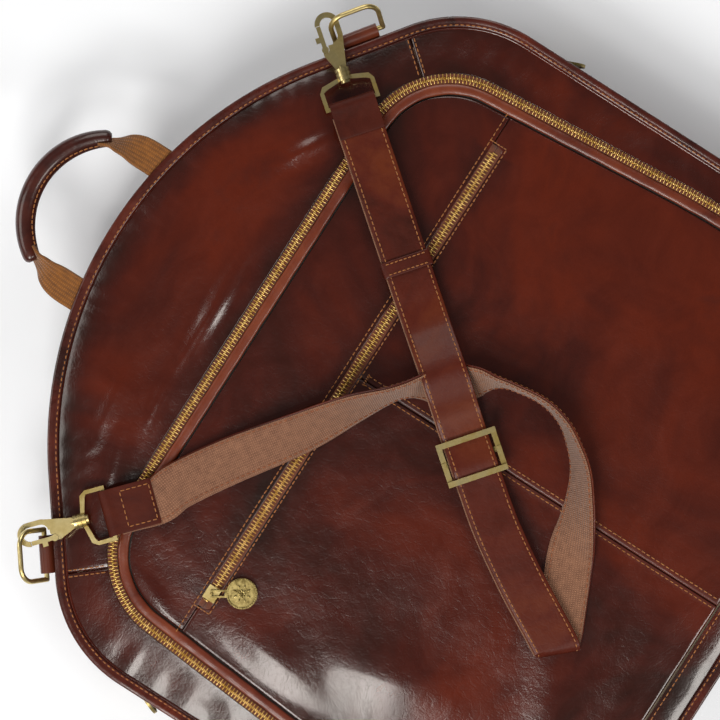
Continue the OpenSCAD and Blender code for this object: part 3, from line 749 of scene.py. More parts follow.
def dense_outline(d, step=4 * MM):
    """Outline at depth d with extra points on its straight parts, matched between depths."""
    base, here = outline(0), outline(d)
    out = []
    for k in range(len(base)):
        nxt = (k + 1) % len(base)
        n = max(1, int(round(np.linalg.norm(base[nxt] - base[k]) / step)))
        for i in range(n):
            out.append(here[k] + (here[nxt] - here[k]) * i / n)
    return np.array(out)


RIM = dense_outline(0)
RIM_LENGTH = lengths(RIM)


def rim_band(name, section, mat, body, wobble):
    """Closed band around the bag. section(xy) gives depth and height pairs for one place on the rim."""
    levels = [section(p) for p in RIM]
    k = len(levels[0])
    depths = sorted({round(d, 7) for level in levels for d, _ in level})
    at = {d: dense_outline(d) for d in depths}
    verts = []
    for i, level in enumerate(levels):
        wave = wobble * (math.sin(RIM_LENGTH[i] * 92) + 0.7 * math.sin(RIM_LENGTH[i] * 171 + 1))
        for j, (d, z) in enumerate(level):
            verts.append((*at[round(d, 7)][i], z + wave * math.sin(math.pi * (j + 0.5) / k)))
    obj = new_object(name, verts, grid_faces(len(RIM), k, wrap_m=True, wrap_n=True))
    # painted shade: the whole band is a little darker
    store(obj, "burnish", 0.4 * np.ones(len(verts)))
    finish_piece(obj, mat, body, (name,))


def binding_section(z0, z1, face_up):
    """Folded leather edging: round at the outer edge, thin where it is sewn down."""
    mid, half = (z0 + z1) / 2, (z1 - z0) / 2
    out = [(1.6 * MM - 1.6 * MM * math.cos(a), mid + half * math.sin(a))
           for a in np.linspace(-math.pi / 2, math.pi / 2, 7)]
    for d, share in ((3.0, 0.98), (4.6, 0.80), (5.6, 0.52), (6.6, 0.62), (7.5, 0.45), (7.9, 0.1),
                     (7.9, -0.3), (5.0, -0.95), (3.0, -1.0)):
        out.append((d * MM, mid + half * share))
    return out if face_up else [(d, 2 * mid - z) for d, z in out][::-1]


binding_z = {half: [corner.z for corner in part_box(half + "_binding")] for half in ("rear", "front")}
for half, face_up, wobble in (("front", True, 0.12 * MM), ("rear", False, 0.08 * MM)):
    rows = binding_section(*binding_z[half], face_up)
    rim_band(half + "_binding", lambda _, rows=rows: rows, BINDING_LEATHER, half + "_half",
             wobble)

SIDE_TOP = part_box("rear_zip_teeth")[1].y + 10 * MM


def gusset_section(near, far, meet):
    """Side wall from the face at height near towards the fold; meet is its height above the side zips."""
    def section(p):
        rise = np.clip((p[1] - SIDE_TOP) / (14 * MM), 0, 1)
        top = far if abs(p[1] - LOW_Y) < 1 * MM else far + (meet - far) * rise
        outside = [(8.0, 0.0), (7.0, 0.05), (6.6, 0.14), (7.2, 0.32), (8.2, 0.55), (9.2, 0.8), (9.9, 0.95),
                   (10.2, 1.0)]
        inside = [(11.6, 1.0), (11.2, 0.8), (10.2, 0.55), (9.4, 0.32), (9.2, 0.12), (9.8, 0.02)]
        return [(d * MM, near + share * (top - near)) for d, share in outside + inside]
    return section


for half, near, far, meet in (("rear", 2.4 * MM, 31 * MM, 36.1 * MM),
                              ("front", 71.6 * MM, 43 * MM, 37.9 * MM)):
    rim_band(half + "_gusset", gusset_section(near, far, meet), LEATHER, half + "_half", 0.35 * MM)


def closed_patch(depth, m=150, n=120):
    """Grid over the whole bag, inside one depth of its outline."""
    right = outline_right(depth)
    shoulder = CORNER_C + 90 * MM * direction(0.9)
    foot = BOTTOM_C + 20 * MM * direction(-0.8)
    up = cut(right, foot, shoulder)
    return coons(low_edge(right, foot), up, both_sides(cut(right, right[0], shoulder)), up * FLIP, m, n)


def lining(half, z, thickness, puff, facing):
    """Cloth inside one half, puffed towards the clothes."""
    depth = GUSSET_IN + 3 * MM
    grid = closed_patch(depth, 110, 110)
    flat = grid.reshape(-1, 2)
    rise = 1 - np.exp(-np.clip(distance_to(EDGE_LINE, flat) - depth, 0, None) / (10 * MM))
    height = z + facing * (puff * rise * (0.5 + 0.35 * rumple(flat * 1.7)))
    obj = slab(half + "_lining", lifted(grid, height), thickness, up=(0, 0, facing))
    finish_piece(obj, LINING, half + "_half", (half + "_lining",))


def rear_panel():
    grid = closed_patch(OUTER)
    flat = grid.reshape(-1, 2)
    rise = rise_from(EDGE_LINE, flat, BINDING, 12 * MM)
    height = 1.1 * MM - rise * MM + 0.35 * MM * rise * (1 + np.clip(rumple(flat * 1.3), -1, 1))
    obj = slab("rear_panel", lifted(grid, height), 1.4 * MM, up=(0, 0, -1))
    # painted shade: darker by the sewn edge
    store(obj, "burnish", bell(distance_to(EDGE_LINE, flat_of(obj)) - BINDING, 20 * MM))
    finish_piece(obj, LEATHER, "rear_half", ("rear_panel",))


rear_panel()
lining("rear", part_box("rear_lining")[1].z, 0.9 * MM, 0.6 * MM, 1)
lining("front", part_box("front_lining")[0].z, 0.8 * MM, 0.5 * MM, -1)


def spine_piece():
    """Soft wall along the lower edge, curved across the fold."""
    lo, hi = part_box("spine")
    x = np.linspace(lo.x, hi.x, 120)
    angles = np.linspace(-1, 1, 23)
    top = np.zeros((len(x), len(angles), 3))
    for j, a in enumerate(angles):
        bulge = 1 - a * a
        top[:, j, 0] = x
        top[:, j, 1] = LOW_Y + 6.5 * MM - 5.6 * MM * bulge ** 0.6 + 0.25 * MM * np.sin(x * 60) * bulge
        top[:, j, 2] = FOLD_Z + a * (FOLD_Z - 3.6 * MM)
    obj = slab("spine", top, 1.6 * MM, up=(0, -1, 0))
    # painted shade: the whole wall is darker
    store(obj, "burnish", 0.6 * np.ones(len(obj.data.vertices)))
    finish_piece(obj, LEATHER, None, ("spine",))
    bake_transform(obj)


spine_piece()


def garment_straps():
    """Two cloth straps across the inside that hold the clothes, with a slack middle."""
    lo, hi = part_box("garment_straps")
    z = (lo.z + hi.z) / 2
    sec = strap_section(12.5 * MM, -0.7 * MM, 0.7 * MM)
    parts = []
    for y in (-157.5 * MM, 42.5 * MM):
        for a, b in ((lo.x, -17 * MM), (17 * MM, hi.x)):
            xs = np.linspace(a, b, 7)
            slack = [(x, y + 1.2 * MM * math.sin(x * 31), z + 0.4 * MM * math.sin(x * 45)) for x in xs]
            path = smooth_line(slack, 4 * MM)
            parts.append((carried(path, *frames_along(path), sec), tube_faces(len(path), len(sec))))
    finish_piece(join("garment_straps", parts), ELASTIC, "rear_half", ("garment_straps",))


garment_straps()


def inner_pocket():
    """Cloth pocket inside the front half, and the band above its zip."""
    lo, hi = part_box("inner_pocket")
    slider_lo, slider_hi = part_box("inner_slider")
    zip_y = slider_lo.y / 2 + slider_hi.y / 2
    for name, y0, y1, rows, replaces in (
            ("inner_pocket", lo.y, zip_y - 5 * MM, 60, ("inner_pocket",)),
            ("inner_pocket_band", zip_y + 5 * MM, hi.y, 6, ())):
        x = lo.x + (hi.x - lo.x) * spaced(90)
        y = y0 + (y1 - y0) * spaced(rows, 0.02)
        grid = np.stack(np.meshgrid(x, y, indexing="ij"), 2)
        flat = grid.reshape(-1, 2)
        side = np.minimum.reduce([flat[:, 0] - lo.x, hi.x - flat[:, 0], flat[:, 1] - y0, y1 - flat[:, 1]])
        z = lo.z + 0.35 * MM - 0.9 * MM * (1 - np.exp(-side / (12 * MM))) * (0.6 + 0.4 * rumple(flat * 1.5))
        obj = slab(name, lifted(grid, z), 1.0 * MM, up=(0, 0, -1))
        finish_piece(obj, LINING, "front_half", replaces)


inner_pocket()


# ---------------------------------------------------------------- zips

TOOTH_W = 1.45 * MM
TOOTH_PITCH = 2.74 * MM


def tooth():
    """One zip tooth lying along +Y from its root, with a rounded back and a nib at the far end."""
    rings = [(3.6, 0.45, 0.40), (3.2, 0.95, 0.50), (1.3, 1.0, 0.50), (0.8, 1.0, 0.66), (-0.5, 0.98, 0.66),
             (-0.9, 0.55, 0.5)]
    k = 8
    turns = np.linspace(0, math.tau, k, endpoint=False) + math.pi / k
    verts = [(0.62 * w * TOOTH_W * math.cos(a), y * MM, 1.08 * h * MM * math.sin(a) * 0.92)
             for y, h, w in rings for a in turns]
    return np.array(verts), tube_faces(len(rings), k)


TOOTH = tooth()


def zip_teeth(name, path, mat, body, replaces, up=UP, scale=1.0, sides=(1, -1), gap=0.0):
    """Interlocking teeth on both sides of a 3-D path."""
    half = resample(path, TOOTH_PITCH / 2)
    t = tangents(half)
    up = np.array(up, float)
    v = TOOTH[0] * scale
    parts = []
    for i in range(1, len(half) - 1):
        side = 1 if i % 2 else -1
        if side not in sides:
            continue
        y = np.cross(up, t[i])
        y /= np.linalg.norm(y)
        parts.append((half[i] + v[:, 0:1] * t[i] + (v[:, 1:2] + gap) * y * side + v[:, 2:3] * up, TOOTH[1]))
    finish_piece(join(name, parts), mat, body, replaces)


def flat_path(xy, z):
    return np.concatenate([xy, np.full((len(xy), 1), z)], 1)


def zip_tape(name, path, bands, z, thickness, body, replaces, up=(0, 0, 1)):
    """Woven tape along a zip, as one joined piece of one or two bands."""
    dense = resample(path, 4 * MM)
    up = np.array(up, float)
    across = np.cross(up, tangents(dense))
    parts = []
    for a, b in bands:
        sec = [(a, 0), (a, thickness), ((a + b) / 2, thickness * 1.25), (b, thickness), (b, 0)]
        v = np.array([dense + across * d + up * (z + h) for d, h in sec]).transpose(1, 0, 2).reshape(-1, 3)
        parts.append((v, tube_faces(len(dense), len(sec))))
    finish_piece(join(name, parts), TAPE, body, replaces)


zip_teeth("big_zip_teeth", flat_path(U_LINE, TEETH_MID), GOLD, "front_half", ("big_zip_teeth",))
pocket_line = [(x, POCKET_ZIP_Y, TEETH_MID) for x in (-POCKET_ZIP_HALF, POCKET_ZIP_HALF)]
zip_teeth("pocket_zip_teeth", pocket_line, GOLD, "front_half", ("pocket_zip_teeth",))
in_lo, in_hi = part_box("inner_zip_teeth")
inner_line = [(x, (in_lo.y + in_hi.y) / 2, (in_lo.z + in_hi.z) / 2) for x in (-in_hi.x, in_hi.x)]
zip_teeth("inner_zip_teeth", inner_line, BRASS, "front_half", ("inner_zip_teeth",),
          up=(0, 0, -1), scale=0.8)

side_lo, side_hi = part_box("rear_zip_teeth")
side_x = side_hi.x - 0.9 * MM
for sign, tag in SIDES:
    line = [(sign * side_x, y, FOLD_Z) for y in (side_lo.y, side_hi.y)]
    for half, keep in (("rear", -sign), ("front", sign)):
        zip_teeth(f"{half}_zip_teeth_{tag}", line, GOLD, half + "_half",
                  (half + "_zip_teeth",) if sign < 0 else (), up=(sign, 0, 0), scale=0.72, sides=(keep,),
                  gap=0.55 * MM)

TAPE_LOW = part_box("pocket_zip_tape")[0].z
TAPE_RISE = (TEETH_MID - TAPE_LOW) * 0.8
tape_end = POCKET_ZIP_HALF + 4.5 * MM
for name, path, wide, replaces in (
        ("pocket_zip_tape", np.array([(-tape_end, POCKET_ZIP_Y), (tape_end, POCKET_ZIP_Y)]), 6.5 * MM,
         ("pocket_zip_tape",)),
        ("big_zip_tape", U_LINE, 3.7 * MM, ())):
    zip_tape(name, flat_path(path, 0), ((0.05 * MM, wide), (-wide, -0.05 * MM)), TAPE_LOW, TAPE_RISE,
             "front_half", replaces)
for half in ("rear", "front"):
    tape_lo, tape_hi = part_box(half + "_zip_tape")
    mid = (tape_lo.z + tape_hi.z) / 2
    wide = (tape_hi.z - tape_lo.z) / 2
    for sign, tag in SIDES:
        x = sign * (tape_hi.x - 0.9 * MM)
        zip_tape(f"{half}_zip_tape_{tag}", [(x, tape_lo.y, mid), (x, tape_hi.y, mid)], ((-wide, wide),), 0,
                 0.5 * MM, half + "_half", (half + "_zip_tape",) if sign < 0 else (), up=(sign, 0, 0))


def gores():
    """Soft leather that closes the side wall past both ends of each side zip."""
    inset = GUSSET_IN + 0.9 * MM
    tall = 6 * MM
    rim = outline_right(inset)
    shoulder = rim[int(np.argmin(np.abs(rim[:, 1] - SIDE_TOP - 17 * MM)))]
    spans = (("low", (HALF_W - inset, side_lo.y + 4 * MM), (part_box("spine")[1].x - 5 * MM, LOW_Y + inset)),
             ("top", (HALF_W - inset, SIDE_TOP - 9 * MM), shoulder))
    sec = [(-0.6 * MM, -tall), (0.6 * MM, -tall), (0.9 * MM, 0), (0.6 * MM, tall), (-0.6 * MM, tall),
           (-0.9 * MM, 0)]
    for place, start, end in spans:
        right = cut(rim, start, end)
        for sign, tag in SIDES:
            obj = sweep(f"{place}_gore_{tag}", flat_path(right * np.array([sign, 1]), FOLD_Z), sec)
            finish_piece(obj, BINDING_LEATHER, "rear_half")


gores()


def welt():
    """Rounded leather edge that runs along the inside of the big zip."""
    low_z, top_z = (corner.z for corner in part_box("big_zip_welt"))
    path = flat_path(resample(both_sides(u_right(-(INNER + WELT_W / 2))), 3 * MM), low_z)
    sec = [(WELT_W / 2 * math.cos(a), (top_z - low_z) * (0.2 + 0.8 * math.sin(a) ** 0.7))
           for a in np.linspace(0, math.pi, 13)]
    sec += [(-WELT_W / 2 + 0.3 * MM, 0), (WELT_W / 2 - 0.3 * MM, 0)]
    steps = np.arange(len(path))
    wave = 1 + 0.03 * np.sin(steps * 0.9) + 0.03 * np.sin(steps * 0.37)
    finish_piece(sweep("big_zip_welt", path, sec, wave), WELT_LEATHER, "front_half",
                 ("big_zip_welt",))


welt()


# ---------------------------------------------------------------- stitches on the bag

def binding_stitches():
    line = dense_outline(6.5 * MM, 2 * MM)
    line = np.concatenate([line, line[:1]])
    for half, z, sign in (("front", binding_z["front"][1] - 0.85 * MM, 1),
                          ("rear", binding_z["rear"][0] + 0.85 * MM, -1)):
        up = np.tile(UP * sign, (len(line) * 2, 1))
        finish_piece(stitch_row(half + "_binding_stitches", flat_path(line, z), up), THREAD, half + "_half")


def front_row(name, line, **how):
    """Stitches along a line across the front."""
    xy = resample(line, STITCH_PITCH)
    path = np.concatenate([xy, (front_height(xy) + 0.15 * MM)[:, None]], 1)
    finish_piece(stitch_row(name, path, **how), THREAD, "front_half")


BOX_X = POCKET_ZIP_HALF + 6 * MM
ROW_HIGH = YOKE_Y + 3.0 * MM
ROW_LOW = SLOT_LOW - 2.4 * MM


def front_stitches():
    front_row("yoke_stitches", [(-229 * MM, ROW_HIGH), (232 * MM, ROW_HIGH)])
    front_row("pocket_edge_stitches", [(-BOX_X, ROW_LOW), (BOX_X, ROW_LOW)])
    a = hit(u_right(INNER), U_C, SEAM_DIR)
    b = hit(outline_right(OUTER), U_C, SEAM_DIR)
    for s, tag in SIDES:
        front_row(f"pocket_end_stitches_{tag}", [(s * BOX_X, ROW_LOW), (s * BOX_X, ROW_HIGH)], pitch=3 * MM,
                  length=2.4 * MM)
        for side, row in ((-1, "a"), (1, "b")):
            ends = np.array([a + SEAM_DIR * 2 * MM, b - SEAM_DIR * MM]) + SEAM_SIDE * side * 2.4 * MM
            front_row(f"shoulder_stitches_{tag}_{row}", ends * np.array([s, 1]))
    for offset, row in ((-2.8 * MM, "a"), (4.5 * MM, "b")):
        x = SEAM_X + offset
        front_row(f"middle_seam_stitches_{row}", [(x, ROW_LOW - 4 * MM), (x, U_END + 3 * MM)])
    y = ROW_LOW - 4.6 * MM
    front_row("middle_seam_tack", [(SEAM_X - 4 * MM, y), (SEAM_X + 6 * MM, y)], pitch=1.6 * MM,
              length=2.2 * MM, skew=1.3)
    y = U_END - 4 * MM
    front_row("bottom_seam_stitches", [(-HALF_W + 14 * MM, y), (HALF_W - 14 * MM, y)])


binding_stitches()
front_stitches()


# ---------------------------------------------------------------- shoulder strap

pos = {n: np.array(j["pos_m"]) for n, j in joints.items() if j.get("pos_m")}
axis = {n: np.array(j["axis"]) / np.linalg.norm(j["axis"]) for n, j in joints.items() if j.get("axis")}
ROOT = {tag: pos[tag + "_hook_swivel"] for _, tag in SIDES}
ALONG = {tag: axis[tag + "_hook_swivel"] for _, tag in SIDES}
STRAP_HALF = 17 * MM
LAYER = 1.45 * MM
HIGH = ROOT["right"][2]
LOW = ROOT["left"][2]
BAIL_BAR = 22 * MM
BUCKLE = np.array([-5 * MM, -109.5 * MM])
TURN = np.array([-85 * MM, -232.7 * MM])

# Way of the strap: x, y, height above its run and how far its outer edge is lifted, in mm and degrees
RUN_HIGH = [(-5, -109.5, 1.5, 0), (-12.4, -119, 0, 0), (-34.8, -148, 0, 0), (-58.5, -185, 0.3, 0),
            (-78, -220, 0.2, 0)]
RUN_LOW = [(-74, -229.4, 0, 0), (-50, -218.6, 0, 0), (-26.3, -207.7, 0, 12), (-5, -198.7, 0, 40),
           (13.1, -190, 0, 57), (33.4, -177.5, 0, 70), (48, -161.7, 0, 79), (57.4, -146.5, 0, 84),
           (61.7, -126.6, 0, 86), (58.7, -101.9, 0, 85), (54.9, -90, 0, 78), (50.5, -80, 0, 60),
           (44, -71.5, 0, 42), (37.5, -62.5, 0, 36), (31, -54.5, 0, 42), (25, -47.5, 0, 57),
           (17, -39.5, 0, 70), (5.3, -29.4, 0, 72), (-19.9, -10.4, 0, 52), (-54.2, 11.6, 0, 29),
           (-99.5, 44, 0, 8), (-135, 66, 0, 0)]
CROSSING = 71 * MM
BRIDGE = 16 * MM
BRIDGE_REACH = 46 * MM
SIDE_SCALE = 0.03


def left_of(way):
    """Level direction to the left of a way of going."""
    return np.array([-way[1], way[0], 0])


def run_rows(rows, base):
    """Centre points and across directions for rows of a strap run."""
    centre = []
    for x, y, lift, tilt in rows:
        rise = math.sin(math.radians(tilt)) * STRAP_HALF
        centre.append((x * MM, y * MM, max(base, base - 5.0 * MM + rise) + lift * MM))
    centre = np.array(centre)
    t = tangents(np.concatenate([centre[:, :2], np.zeros((len(centre), 1))], 1))
    left = np.stack([-t[:, 1], t[:, 0], np.zeros(len(t))], 1)
    tilt = np.radians([r[3] for r in rows])[:, None]
    return centre, left * np.cos(tilt) - UP * np.sin(tilt)


def ribbon(name, centre, across, low, high, mat, shift=0.0):
    """Closed band of the strap between two offsets from a centre line."""
    both = smooth_line(np.concatenate([centre, across * SIDE_SCALE], 1), 2.5 * MM)
    path = both[:, :3]
    side, up = frames_along(path, both[:, 3:] / SIDE_SCALE)
    sec = strap_section(STRAP_HALF, low, high, 9)
    sec[:, 0] += shift
    obj = new_object(name, carried(path, side, up, sec), tube_faces(len(path), len(sec)))
    lay_threads(obj, path, sec[:, 0])
    finish_piece(obj, mat, "strap", (name,))
    return path, side, up


def strap_way():
    """Centre line of the whole strap, from the right hook to the left one, and its across directions."""
    start = ROOT["right"] - ALONG["right"] * (BAIL_BAR + 7 * MM)
    whole = np.linalg.norm(BUCKLE - start[:2])
    head = []
    for t in (0, 0.12, 0.3, 0.48, 0.56, 0.62, 0.68, 0.74, 0.80, 0.86, 0.91, 0.95):
        # the strap rises where it bridges the run below it
        near = min(1.0, abs(whole * (1 - t) - CROSSING) / BRIDGE_REACH)
        lift = BRIDGE * 0.5 * (1 + math.cos(math.pi * near))
        head.append(np.array([*(start[:2] * (1 - t) + BUCKLE * t), HIGH + lift]))
    head_left = left_of((BUCKLE - start[:2]) / whole)
    high_c, high_a = run_rows(RUN_HIGH, HIGH)
    low_c, low_a = run_rows(RUN_LOW, LOW)
    # the turn at the low end: a half circle standing on edge
    turn_left = np.array([0.674, -0.738, 0])
    away = np.array([-0.738, -0.674])
    r = (HIGH - LOW) / 2
    turn_c = [np.array([*(TURN + away * (r * 1.6 * math.cos(a))), (HIGH + LOW) / 2 + r * math.sin(a)])
              for a in np.radians(np.linspace(80, -80, 7))]
    tail_c = [ROOT["left"] - ALONG["left"] * back for back in (60 * MM, 40 * MM, BAIL_BAR + 6 * MM)]
    # past the turn the same side of the strap faces the other way, so its across direction carries on
    centre = np.array(head + list(high_c) + turn_c + list(low_c) + tail_c)
    across = np.array([head_left] * len(head) + list(high_a) + [turn_left] * len(turn_c) + list(-low_a)
                      + [-left_of(ALONG["left"])] * len(tail_c))
    return centre, across


def strap():
    centre, across = strap_way()
    path, side, up = ribbon("strap_leather", centre, across, 0.03 * MM, LAYER, STRAP_LEATHER)
    ribbon("strap_webbing", centre, across, -LAYER, -0.03 * MM, CANVAS, shift=-1.0 * MM)
    for s, tag in ((1, "a"), (-1, "b")):
        for lift, face, mat in ((LAYER + 0.12 * MM, "leather", THREAD),
                                (-LAYER - 0.1 * MM, "canvas", DARK_THREAD)):
            line = path + side * s * (STRAP_HALF - 2.7 * MM) + up * lift
            even = resample(np.concatenate([line, up * 0.01], 1), STITCH_PITCH)
            normal = even[:, 3:] / np.linalg.norm(even[:, 3:], axis=1)[:, None] * np.sign(lift)
            finish_piece(stitch_row(f"strap_stitches_{face}_{tag}", even[:, :3], normal), mat, "strap")


strap()


def rounded(points):
    """Closed outline in mm with its corners cut twice, in metres."""
    p = np.array(points) * MM
    for _ in range(2):
        nxt = np.roll(p, -1, axis=0)
        p = np.stack([p * 0.75 + nxt * 0.25, p * 0.25 + nxt * 0.75], 1).reshape(-1, 2)
    return p


def plate_loop(name, origin, along, across, outline_mm, half_w, mat, body, replaces):
    """Leather folded to a closed side view (along, up), with rounded long edges."""
    profile = rounded(outline_mm)
    middle = profile.mean(0)
    widths = [(-half_w, 0.80), (-half_w + 0.35 * MM, 0.95), (-half_w + 1.0 * MM, 1.0), (0, 1.0),
              (half_w - 1.0 * MM, 1.0), (half_w - 0.35 * MM, 0.95), (half_w, 0.80)]
    parts = []
    for w, share in widths:
        p = profile + (middle - profile) * (1 - share) * 0.06
        parts.append(origin + p[:, 0:1] * along + UP * p[:, 1:2] + across * w)
    obj = new_object(name, np.concatenate(parts), tube_faces(len(widths), len(profile)))
    return finish_piece(obj, mat, body, replaces, bevel=0.3 * MM)


def strap_ends():
    """The strap's ends, folded around the bars of both hooks."""
    bar = -BAIL_BAR / MM
    for tag, name, far, top, replaces in (("left", "strap_tab", -58, 2.9, ("strap_tab",)),
                                          ("right", "strap_end_fold", -46, 2.5, ())):
        profile = [(far, 1.5), (far, top), (bar - 12, top), (bar - 5, 3.2), (bar, 4.0), (bar + 3.6, 2.6),
                   (bar + 4.4, 0), (bar + 3.6, -2.6), (bar, -3.8), (bar - 5, -3.0), (bar - 12, -2.4),
                   (far + 16, -2.2), (far + 16, -1.45), (bar - 9, -1.5), (bar - 4, -2.0), (bar, -2.4),
                   (bar + 2.2, -1.4), (bar + 2.6, 0), (bar + 2.2, 1.4), (bar, 2.4), (bar - 4, 2.0),
                   (bar - 9, 1.5)]
        plate_loop(name, ROOT[tag], ALONG[tag], left_of(ALONG[tag]), profile, STRAP_HALF + 0.2 * MM,
                   TAB_LEATHER, "strap", replaces)
    # a box of stitches on the left end
    along = ALONG["left"]
    level = UP * (2.9 + 0.1) * MM
    box = [(-56, -13.5), (-34, -13.5), (-34, 13.5), (-56, 13.5), (-56, -13.5)]
    corners = [ROOT["left"] + along * a * MM + left_of(along) * b * MM + level for a, b in box]
    for k in range(4):
        finish_piece(stitch_row(f"left_end_stitches_{k}", np.array(corners[k:k + 2])), THREAD, "strap")


strap_ends()


def keeper():
    """Leather loop around the strap, with two rows of stitches."""
    travel = ROOT["right"][:2] - ALONG["right"][:2] * 27 * MM - BUCKLE
    travel = np.array([*(travel / np.linalg.norm(travel)), 0])
    across = left_of(travel)
    middle = np.array([*BUCKLE, HIGH]) + travel * 156 * MM
    half_w, half_h, wall = STRAP_HALF + 0.7 * MM, LAYER + 0.45 * MM, 1.3 * MM
    k = 48
    outer, inner = [], []
    for x, thin in ((-6, 0.35), (-5.7, 0.1), (-5, 0), (-2, 0), (2, 0), (5, 0), (5.7, 0.1), (6, 0.35)):
        w = half_w + wall - thin * MM
        h = half_h + wall - thin * MM
        for a in np.linspace(0, math.tau, k, endpoint=False):
            c, s = math.cos(a), math.sin(a)
            y, z = w * np.sign(c) * abs(c) ** 0.28, h * np.sign(s) * abs(s) ** 0.45
            outer.append((x * MM, y, z))
            inner.append((-x * MM, y * (half_w / (half_w + wall)), z * (half_h / (half_h + wall))))
    verts = [middle + travel * x + across * y + UP * z for x, y, z in outer + inner]
    obj = new_object("strap_keeper", verts, grid_faces(len(verts) // k, k, wrap_m=True, wrap_n=True))
    finish_piece(obj, STRAP_LEATHER, "strap_keeper", ("strap_keeper",))
    z = half_h + wall + 0.12 * MM
    for row, x in enumerate((-3.9 * MM, 3.9 * MM)):
        ends = [middle + travel * x + across * w + UP * z for w in (-15.5 * MM, 15.5 * MM)]
        obj = stitch_row(f"keeper_stitches_{row}", np.array(ends), pitch=3.4 * MM, length=2.6 * MM)
        finish_piece(obj, THREAD, "strap_keeper")


keeper()


# ---------------------------------------------------------------- ring loops and handle

def ring_loops():
    """Leather loops that hold the straight bars of the strap rings, bored for the bar."""
    side_view = [(-15, -4.2), (0, -4.4)] + [(4.2 * math.sin(a) + 0.3, -4.3 * math.cos(a))
                                            for a in np.linspace(0.5, 2.9, 7)]
    side_view += [(-2.2, 4.0), (-4.3, 2.0), (-5.4, -0.6), (-6.4, -2.0), (-9, -2.5), (-15, -2.6)]
    turns = np.linspace(0, math.tau, 24, endpoint=False)
    bore = np.stack([2.35 * MM * np.cos(turns), 2.35 * MM * np.sin(turns)], 1)
    for sign, tag in SIDES:
        p = pos[tag + "_ring_tilt"]
        along = axis[tag + "_ring_tilt"]
        out = left_of(along)
        if out[1] < 0:
            out = -out
        name = f"ring_loop_{tag}"
        obj = plate_loop(name, p, out, along, side_view, 14 * MM, LOOP_LEATHER, "front_half",
                         ("ring_loops",) if sign < 0 else ())
        obj.modifiers.clear()
        cutter = sweep(name + "_bore", np.array([p - along * 16 * MM, p + along * 16 * MM]), bore)
        mod = obj.modifiers.new("bore", "BOOLEAN")
        mod.operation = "DIFFERENCE"
        mod.object = cutter
        mesh = bpy.data.meshes.new_from_object(obj.evaluated_get(bpy.context.evaluated_depsgraph_get()))
        obj.modifiers.clear()
        obj.data = mesh
        bpy.data.objects.remove(cutter)


ring_loops()


def handle_grip(centre):
    """Sewn leather tube of the grip, and its stitches."""
    grip_lo, grip_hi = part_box("handle_grip")
    tube = (grip_hi.z - grip_lo.z) / 2
    radius = 64 * MM
    a = np.radians(np.linspace(148, 32, 90))
    swell = 0.80 + 0.20 * (1 - np.abs(np.linspace(-1, 1, len(a))) ** 3)
    swell[:3] *= (0.55, 0.85, 0.96)
    swell[-3:] *= (0.96, 0.85, 0.55)
    sec = []
    for t in np.linspace(0, math.tau, 28, endpoint=False):
        # a ridge where the two edges of the leather are sewn together, on the inner side of the curve
        ridge = 0.18 * math.exp(-((t - 1.5 * math.pi) / 0.22) ** 2)
        sec.append((tube * (1 + ridge) * math.sin(t), tube * (1 + ridge) * math.cos(t) * 0.98))

    def curve(r):
        return centre + np.stack([r * np.cos(a), r * np.sin(a), 0 * a], 1)

    finish_piece(sweep("handle_grip", curve(radius), sec, swell), GRIP_LEATHER, "handle",
                 ("handle_grip",))
    inner = curve(radius - tube * 0.86)
    inner[:, 2] += tube * 0.62 * swell
    obj = stitch_row("handle_stitches", inner[4:-4], pitch=4.0 * MM)
    finish_piece(obj, THREAD, "handle")


def handle_webbing(hinge):
    """Ribbed webbing from the bag's edge to both ends of the grip, narrowing and turning on its way."""
    # x, y and z from the hinge in mm, turn in degrees, and half width in mm
    rows = [(57.5, -9, -2.6, 0, 12.4), (57.5, -3, -1.6, 0, 12.4), (57.5, 3, -0.6, 0, 12.4),
            (57, 11, 0.2, 10, 12), (55.5, 19, 0.8, 30, 11.2), (53, 26, 0.6, 50, 10), (50.5, 33, 0, 64, 8),
            (46, 41, 0, 68, 6)]
    span = np.linspace(-1, 1, 12)
    ribs = [1 + 0.22 * math.cos(x * 13) for x in span]
    sec = np.array([(x, rib * MM) for x, rib in zip(span, ribs)]
                   + [(x, -rib * MM) for x, rib in zip(span[::-1], ribs[::-1])])
    for s, tag in SIDES:
        points = []
        for x, y, z, turn, half_w in rows:
            turn = math.radians(turn)
            points.append((s * x * MM, hinge[1] + y * MM, hinge[2] + z * MM, math.cos(turn) * SIDE_SCALE, 0,
                           -s * math.sin(turn) * SIDE_SCALE, half_w * MM))
        both = smooth_line(points, 1.6 * MM)
        path, wide = both[:, :3], both[:, 6]
        verts = carried(path, *frames_along(path, both[:, 3:6]), sec, wide)
        obj = new_object(f"handle_webbing_{tag}", verts, tube_faces(len(path), len(sec)))
        lay_threads(obj, path, sec[None, :, 0] * wide[:, None])
        finish_piece(obj, WEBBING, None, ("handle_webbing",) if s < 0 else ())
        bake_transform(obj)


handle_at = pos["handle_swing"]
handle_grip(np.array([0, handle_at[1] + 0.4 * MM, handle_at[2]]))
handle_webbing(handle_at)


# ---------------------------------------------------------------- metal parts and what stays from the frame

def dress(names, mat, width=0.0):
    for name in names:
        obj = frame["nodes"][name]
        if not obj.material_slots:
            obj.data.materials.append(mat)
        for slot in obj.material_slots:
            slot.material = mat
        if width:
            mod = obj.modifiers.new("edges", "BEVEL")
            mod.width = width
            mod.segments = 3
            mod.limit_method = "ANGLE"
            mod.angle_limit = math.radians(40)
            mod.harden_normals = False


